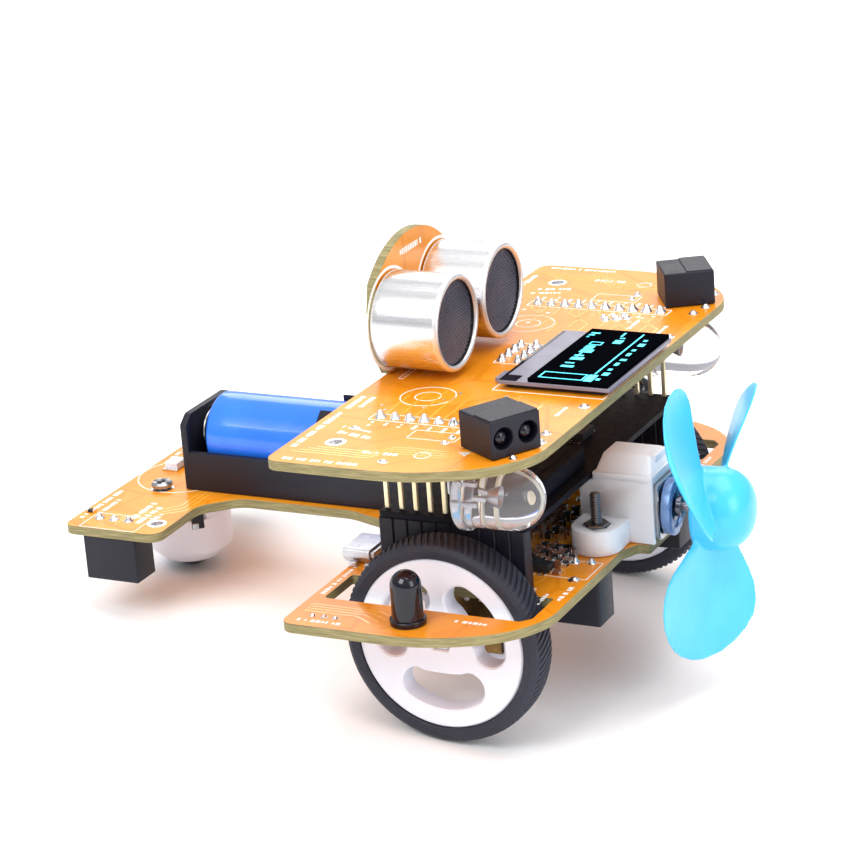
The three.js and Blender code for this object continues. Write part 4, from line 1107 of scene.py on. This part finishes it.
# ---- caster ----
bm = start()
lathe(bm, [(0, -6.0), (4.2, -7.6), (4.95, -11.8), (4.55, -14.3), (4.75, -14.45), (5.2, -14.3),
           (7.15, -12.5), *arc(7.0, -12.0, 0.4, -50, 0, 4), (7.4, -9.0), (7.4, -5.97), (0, -5.95)], 96,
      m=moved(BALL_X, BALL_Y))
piece("caster_skirt", bm, [WHITE], ["caster_housing"])
bm = start()
disc = circle(BALL_X, BALL_Y, 7.4, 96)
prism(bm, disc, -4.0, -1.72, edge=0.12)
mid_block = [p for p in disc if abs(p.y - BALL_Y) < 4.4]
mid_block.sort(key=lambda p: atan2(p.y - BALL_Y, p.x - BALL_X))
prism(bm, mid_block, -5.95, -3.95)
piece("caster_collar", bm, [WHITE])
# painted shade: a thin black patch on the collar stands for the shade inside the clip's recess
bm = start()
recess = moved(BALL_X, BALL_Y) @ spun(radians(-47), "Z")
block(bm, 6.9, 7.44, -1.1, 1.1, -7.5, -4.05, 0.1, m=recess)
piece("caster_slot_shade_patch", bm, [BLACK])
bm = start()
block(bm, 7.3, 7.6, -1.05, 0.1, -7.45, -6.35, 0.12, m=recess)
piece("caster_clip", bm, [STEEL])
bm = start()
lathe(bm, arc(0, 0, BALL_R, 90, -90, 40), 72, m=moved(BALL_X, BALL_Y, BALL_Z))
piece("caster_ball_steel", bm, [DARK_STEEL], ["caster_ball"], "caster_roller", 80)


def cross(x, y, r, w):
    """Outline of a cross recess with arms to r and 2w wide."""
    arm = ((-w, -r), (w, -r), (w, -w))
    return outline(*[(x + a * c - b * d, y + a * d + b * c) for c, d in ((1, 0), (0, 1), (-1, 0), (0, -1))
                     for a, b in arm])


def thread(bm, x, y, z0, z1, r, pitch=0.45):
    """Threaded shank: a ridge for each turn."""
    pts = [(0, z0)]
    z = z0
    while z < z1 - pitch:
        pts += [(r - 0.14, z), (r, z + pitch / 2)]
        z += pitch
    pts += [(r - 0.2, z1), (0, z1)]
    lathe(bm, pts, 24, m=moved(x, y))


def nut(bm, x, y, z0, z1, r=2.25, turn=0.0):
    prism(bm, circle(x, y, r, 6, turn), z0, z1, edge=0.16)


for (side, s), (x, y) in zip(SIDES, TAIL_SCREWS):
    bm = start()
    prism(bm, circle(x, y, 1.9, 40), 0.12, 1.35, blind=[(cross(x, y, 1.25, 0.3), 0.75)], edge=0.38)
    thread(bm, x, y, -8.4, 0.3, 0.95)
    nut(bm, x, y, -5.75, -4.15, 2.1)
    piece(f"tail_screw_{side}", bm, [STEEL], [f"caster_screw_{side}"])
for (side, s), (x, y) in zip(SIDES, EARS):
    bm = start()
    prism(bm, circle(x, y, 1.9, 40), -BOARD_T - 1.5, -BOARD_T - GAP, edge=0.35)
    thread(bm, x, y, -BOARD_T - 0.6, 9.6, 0.95)
    nut(bm, x, y, 2.75, 4.5, 2.25, 0.3)
    # the ear screws take the steel that is darkened in part as painted shade
    piece(f"ear_screw_{side}", bm, [SCREW_STEEL_WITH_SHADE], [f"fan_screw_{side}"])

# ---- fan ----
FAN = moved(37.8, -2.3, 5.2) @ spun(radians(6.5), "Z")
AXIS = FAN @ spun(pi / 2, "Y")
HUB_R, HUB_BACK, HUB_LEN, DOME, BORE_R, BLADE_MID = 6.8, 3.5, 9.4, 5.8, 0.76, 6.9
COLS = 13               # points across a blade
# One blade, root to tip: (radius, trailing edge, leading edge), both edges measured from the stem line.
BLADE = [(2.2, -5.2, 4.2), (3.4, -6.2, 4.5), (4.4, -7.4, 4.7), (5.6, -10.4, 5.0), (6.8, -13.8, 5.3),
         (8.0, -16.1, 5.9), (10.0, -17.3, 6.8), (12.6, -17.4, 8.1), (15.4, -16.5, 9.0), (18.2, -14.8, 9.1),
         (20.6, -12.7, 8.4), (22.6, -10.1, 6.5), (24.1, -7.2, 3.8), (24.9, -4.4, 0.8)]
bm = start()
dome = [(HUB_R * cos(a) ** 0.8, HUB_BACK + HUB_LEN - DOME + DOME * sin(a))
        for a in [pi / 2 * k / 16 for k in range(1, 16)]]
lathe(bm, [(0, HUB_BACK + 7.3), (BORE_R, HUB_BACK + 7.3), (BORE_R, HUB_BACK), (HUB_R - 0.6, HUB_BACK),
           *arc(HUB_R - 0.6, HUB_BACK + 0.6, 0.6, -90, 0, 4), (HUB_R, HUB_BACK + 2.0), *dome,
           (0, HUB_BACK + HUB_LEN)], 96, m=AXIS)
for k in range(3):
    spin = FAN @ moved(BLADE_MID, 0) @ spun(radians(120 * k - 62.5), "X")
    skins = []
    for layer in (-0.5, 0.5):
        grid = []
        for r, rear, front in BLADE:
            line = []
            for j in range(COLS):
                w = front + (rear - front) * j / (COLS - 1)
                twist = radians(24 + 0.34 * (r - 16))
                edge_fade = min(1.0, 0.35 + 3.2 * min(j, COLS - 1 - j) / (COLS - 1))
                cup = 0.009 * w * w - 0.9 + layer * 0.85 * edge_fade
                line.append(bm.verts.new(spin @ Vector((
                    w * sin(twist) + cup * cos(twist),
                    cup * sin(twist) - w * cos(twist), r))))
            grid.append(line)
        skins.append(grid)
    low, high = skins
    last = len(BLADE) - 1
    for i in range(last):
        for j in range(COLS - 1):
            for g in (low, high):
                bm.faces.new((g[i][j], g[i][j + 1], g[i + 1][j + 1], g[i + 1][j]))
        for j in (0, COLS - 1):
            bm.faces.new((low[i][j], low[i + 1][j], high[i + 1][j], high[i][j]))
    for i in (0, last):
        for j in range(COLS - 1):
            bm.faces.new((low[i][j], low[i][j + 1], high[i][j + 1], high[i][j]))
place(bm.verts[:], moved(-0.08, 0))
rotor = piece("fan_rotor_moulding", bm, [FAN_PLASTIC], ["fan"], "fan_rotor", 70)
# one moulding: the blades' roots flow into the hub
for kind, values in (("REMESH", {"mode": "VOXEL", "voxel_size": 0.21 * MM, "use_smooth_shade": True}),
                     ("SMOOTH", {"factor": 0.6, "iterations": 7})):
    mod = rotor.modifiers.new(kind.lower(), kind)
    for key, value in values.items():
        setattr(mod, key, value)
bpy.context.view_layer.update()
done = bpy.data.meshes.new_from_object(rotor.evaluated_get(bpy.context.evaluated_depsgraph_get()))
rotor.modifiers.clear()
done.polygons.foreach_set("use_smooth", [True] * len(done.polygons))
rotor.data = done
bm = start()
lathe(bm, [(0, -4.9), (0.68, -4.9), (0.72, -4.8), (0.72, HUB_BACK + 6.8), (0, HUB_BACK + 6.8)], 28, m=AXIS)
piece("fan_spindle", bm, [STEEL], ["fan_shaft"], "fan_rotor")

bm = start()
holes = [(circle(y, z, 0.55, 20), 0.8) for y, z in ((-5.4, 2.2), (-5.4, 8.2), (4.4, 2.2), (4.4, 8.2))]
prism(bm, rectangle(-6.5, 5.5, 0.3, 10.1, 1.4, 6), 23.5, 36.2, blind=holes, edge=0.18, m=UPRIGHT)
piece("fan_motor_case", bm, [STEEL], ["fan_motor"])
bm = start()
lathe(bm, [(2.2, -1.6), (4.6, -1.6), *arc(4.5, -0.3, 0.28, 0, 90, 4), (3.5, 0.0), (3.4, -0.35),
           (2.2, -0.35)], 72, m=AXIS, loop=True)
for a in (0.8, 2.4, 4.0, 5.6):
    lathe(bm, [(0, -0.03), (0.5, -0.03), (0.42, 0.06), (0, 0.08)], 16,
          m=AXIS @ moved(4.0 * cos(a), 4.0 * sin(a)))
piece("fan_motor_boss", bm, [BOSS])
bm = start()
lathe(bm, [(0.79, -1.4), (2.3, -1.4), (2.3, -0.2), (1.7, 0.0), (1.6, 0.75), (0.79, 0.78)], 48, m=AXIS,
      loop=True)
piece("fan_motor_bush", bm, [DARK_STEEL])

# sloping crown that runs from the motor bracket's shoulders up to its raised rib
bm = start()
SHOULDER = (25.38, 35.62, -7.32, 6.32)
levels = [ring(bm, ((x0, y0), (x1, y0), (x1, y1), (x0, y1)), z)
          for x0, x1, y0, y1, z in ((*SHOULDER, 10.6), (*SHOULDER, 11.35), (25.5, 33.6, -3.1, 2.1, 13.74))]
bm.faces.new(levels[0][::-1])
bm.faces.new(levels[2])
for a, b in zip(levels, levels[1:]):
    wall(bm, a, b)
base = set(levels[0])
crest_edges = [e for e in bm.edges if not base.issuperset(e.verts)]
bmesh.ops.bevel(bm, geom=crest_edges, offset=0.6, segments=4, profile=0.55, affect="EDGES")
piece("fan_bracket_crown", bm, [NYLON])

# ---- bracket, cell holder and motor brackets: edges broken ----
for node, mat, width in (("fan_bracket", NYLON, 0.35), ("battery_holder", BLACK, 0.22),
                         ("motor_bracket_right", WHITE, 0.25), ("motor_bracket_left", WHITE, 0.25)):
    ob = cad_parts[node]
    ob.data.materials.clear()
    ob.data.materials.append(mat)
    weld = ob.modifiers.new("weld", "WELD")
    weld.merge_threshold = 0.004 * MM
    bevel = ob.modifiers.new("edges", "BEVEL")
    bevel.width = width * MM
    bevel.segments = 3
    bevel.limit_method = "ANGLE"
    bevel.angle_limit = radians(38)
    ob.data.polygons.foreach_set("use_smooth", [True] * len(ob.data.polygons))

# ---- floor, light, camera ----
floor_bm = start()
bmesh.ops.create_grid(floor_bm, x_segments=2, y_segments=2, size=4.0)
floor_mesh = bpy.data.meshes.new("floor")
floor_bm.to_mesh(floor_mesh)
floor_bm.free()
floor = in_scene("floor", floor_mesh)
floor.location.z = -0.0001
floor_mesh.materials.append(finish_of("pale_floor", (246, 246, 247), (249, 249, 250), (0.7, 0.8), grain=60,
                                      strength=0.02))

world = bpy.data.worlds.new("studio")
bpy.context.scene.world = world
world.use_nodes = True
nodes, links = world.node_tree.nodes, world.node_tree.links
sky = nodes.new("ShaderNodeTexCoord")
split = nodes.new("ShaderNodeSeparateXYZ")
tone = nodes.new("ShaderNodeValToRGB")
links.new(sky.outputs["Generated"], split.inputs[0])
links.new(split.outputs["Z"], tone.inputs["Fac"])
tone.color_ramp.elements[0].position, tone.color_ramp.elements[0].color = 0.0, (0.62, 0.63, 0.66, 1)
tone.color_ramp.elements[1].position, tone.color_ramp.elements[1].color = 0.7, (1.0, 1.0, 1.0, 1)
links.new(tone.outputs["Color"], nodes["Background"].inputs["Color"])
nodes["Background"].inputs["Strength"].default_value = 0.75


def softbox(name, place_at, aim, size, power, tint=(1, 1, 1)):
    light = bpy.data.lights.new(name, "AREA")
    light.shape = "RECTANGLE"
    light.size, light.size_y = size
    light.energy = power
    light.color = tint
    ob = in_scene(name, light)
    ob.location = place_at
    ob.rotation_mode = "QUATERNION"
    ob.rotation_quaternion = (Vector(aim) - Vector(place_at)).to_track_quat("-Z", "Y")


softbox("key", (-0.25, -0.75, 0.75), (0, 0, 0.03), (0.55, 0.55), 6.6)
softbox("top", (0.05, 0.10, 0.95), (0, 0, 0.03), (0.9, 0.7), 6.0)
softbox("right", (0.85, -0.25, 0.45), (0, 0, 0.03), (0.45, 0.6), 3.2)
softbox("rear", (-0.35, 0.85, 0.55), (0, 0, 0.03), (0.7, 0.5), 3.0)

camera = bpy.data.cameras.new("camera")
camera.sensor_width = 36.0
camera.lens = 126.57
camera.clip_start, camera.clip_end = 0.02, 20
eye = in_scene("camera", camera)
# its own right, down and ahead in the chassis frame, and its place there in millimetres
right = Vector((0.89657, 0.43696, -0.07226))
down = Vector((0.08351, -0.32701, -0.94132))
ahead = Vector((-0.43495, 0.83793, -0.32968))
spot = Vector((209.99, -420.12, 179.52)) * MM
eye.matrix_world = CHASSIS @ moved(*spot) @ Matrix((right, -down, -ahead)).transposed().to_4x4()
bpy.context.scene.camera = eye
bpy.context.scene.view_settings.view_transform = "Standard"
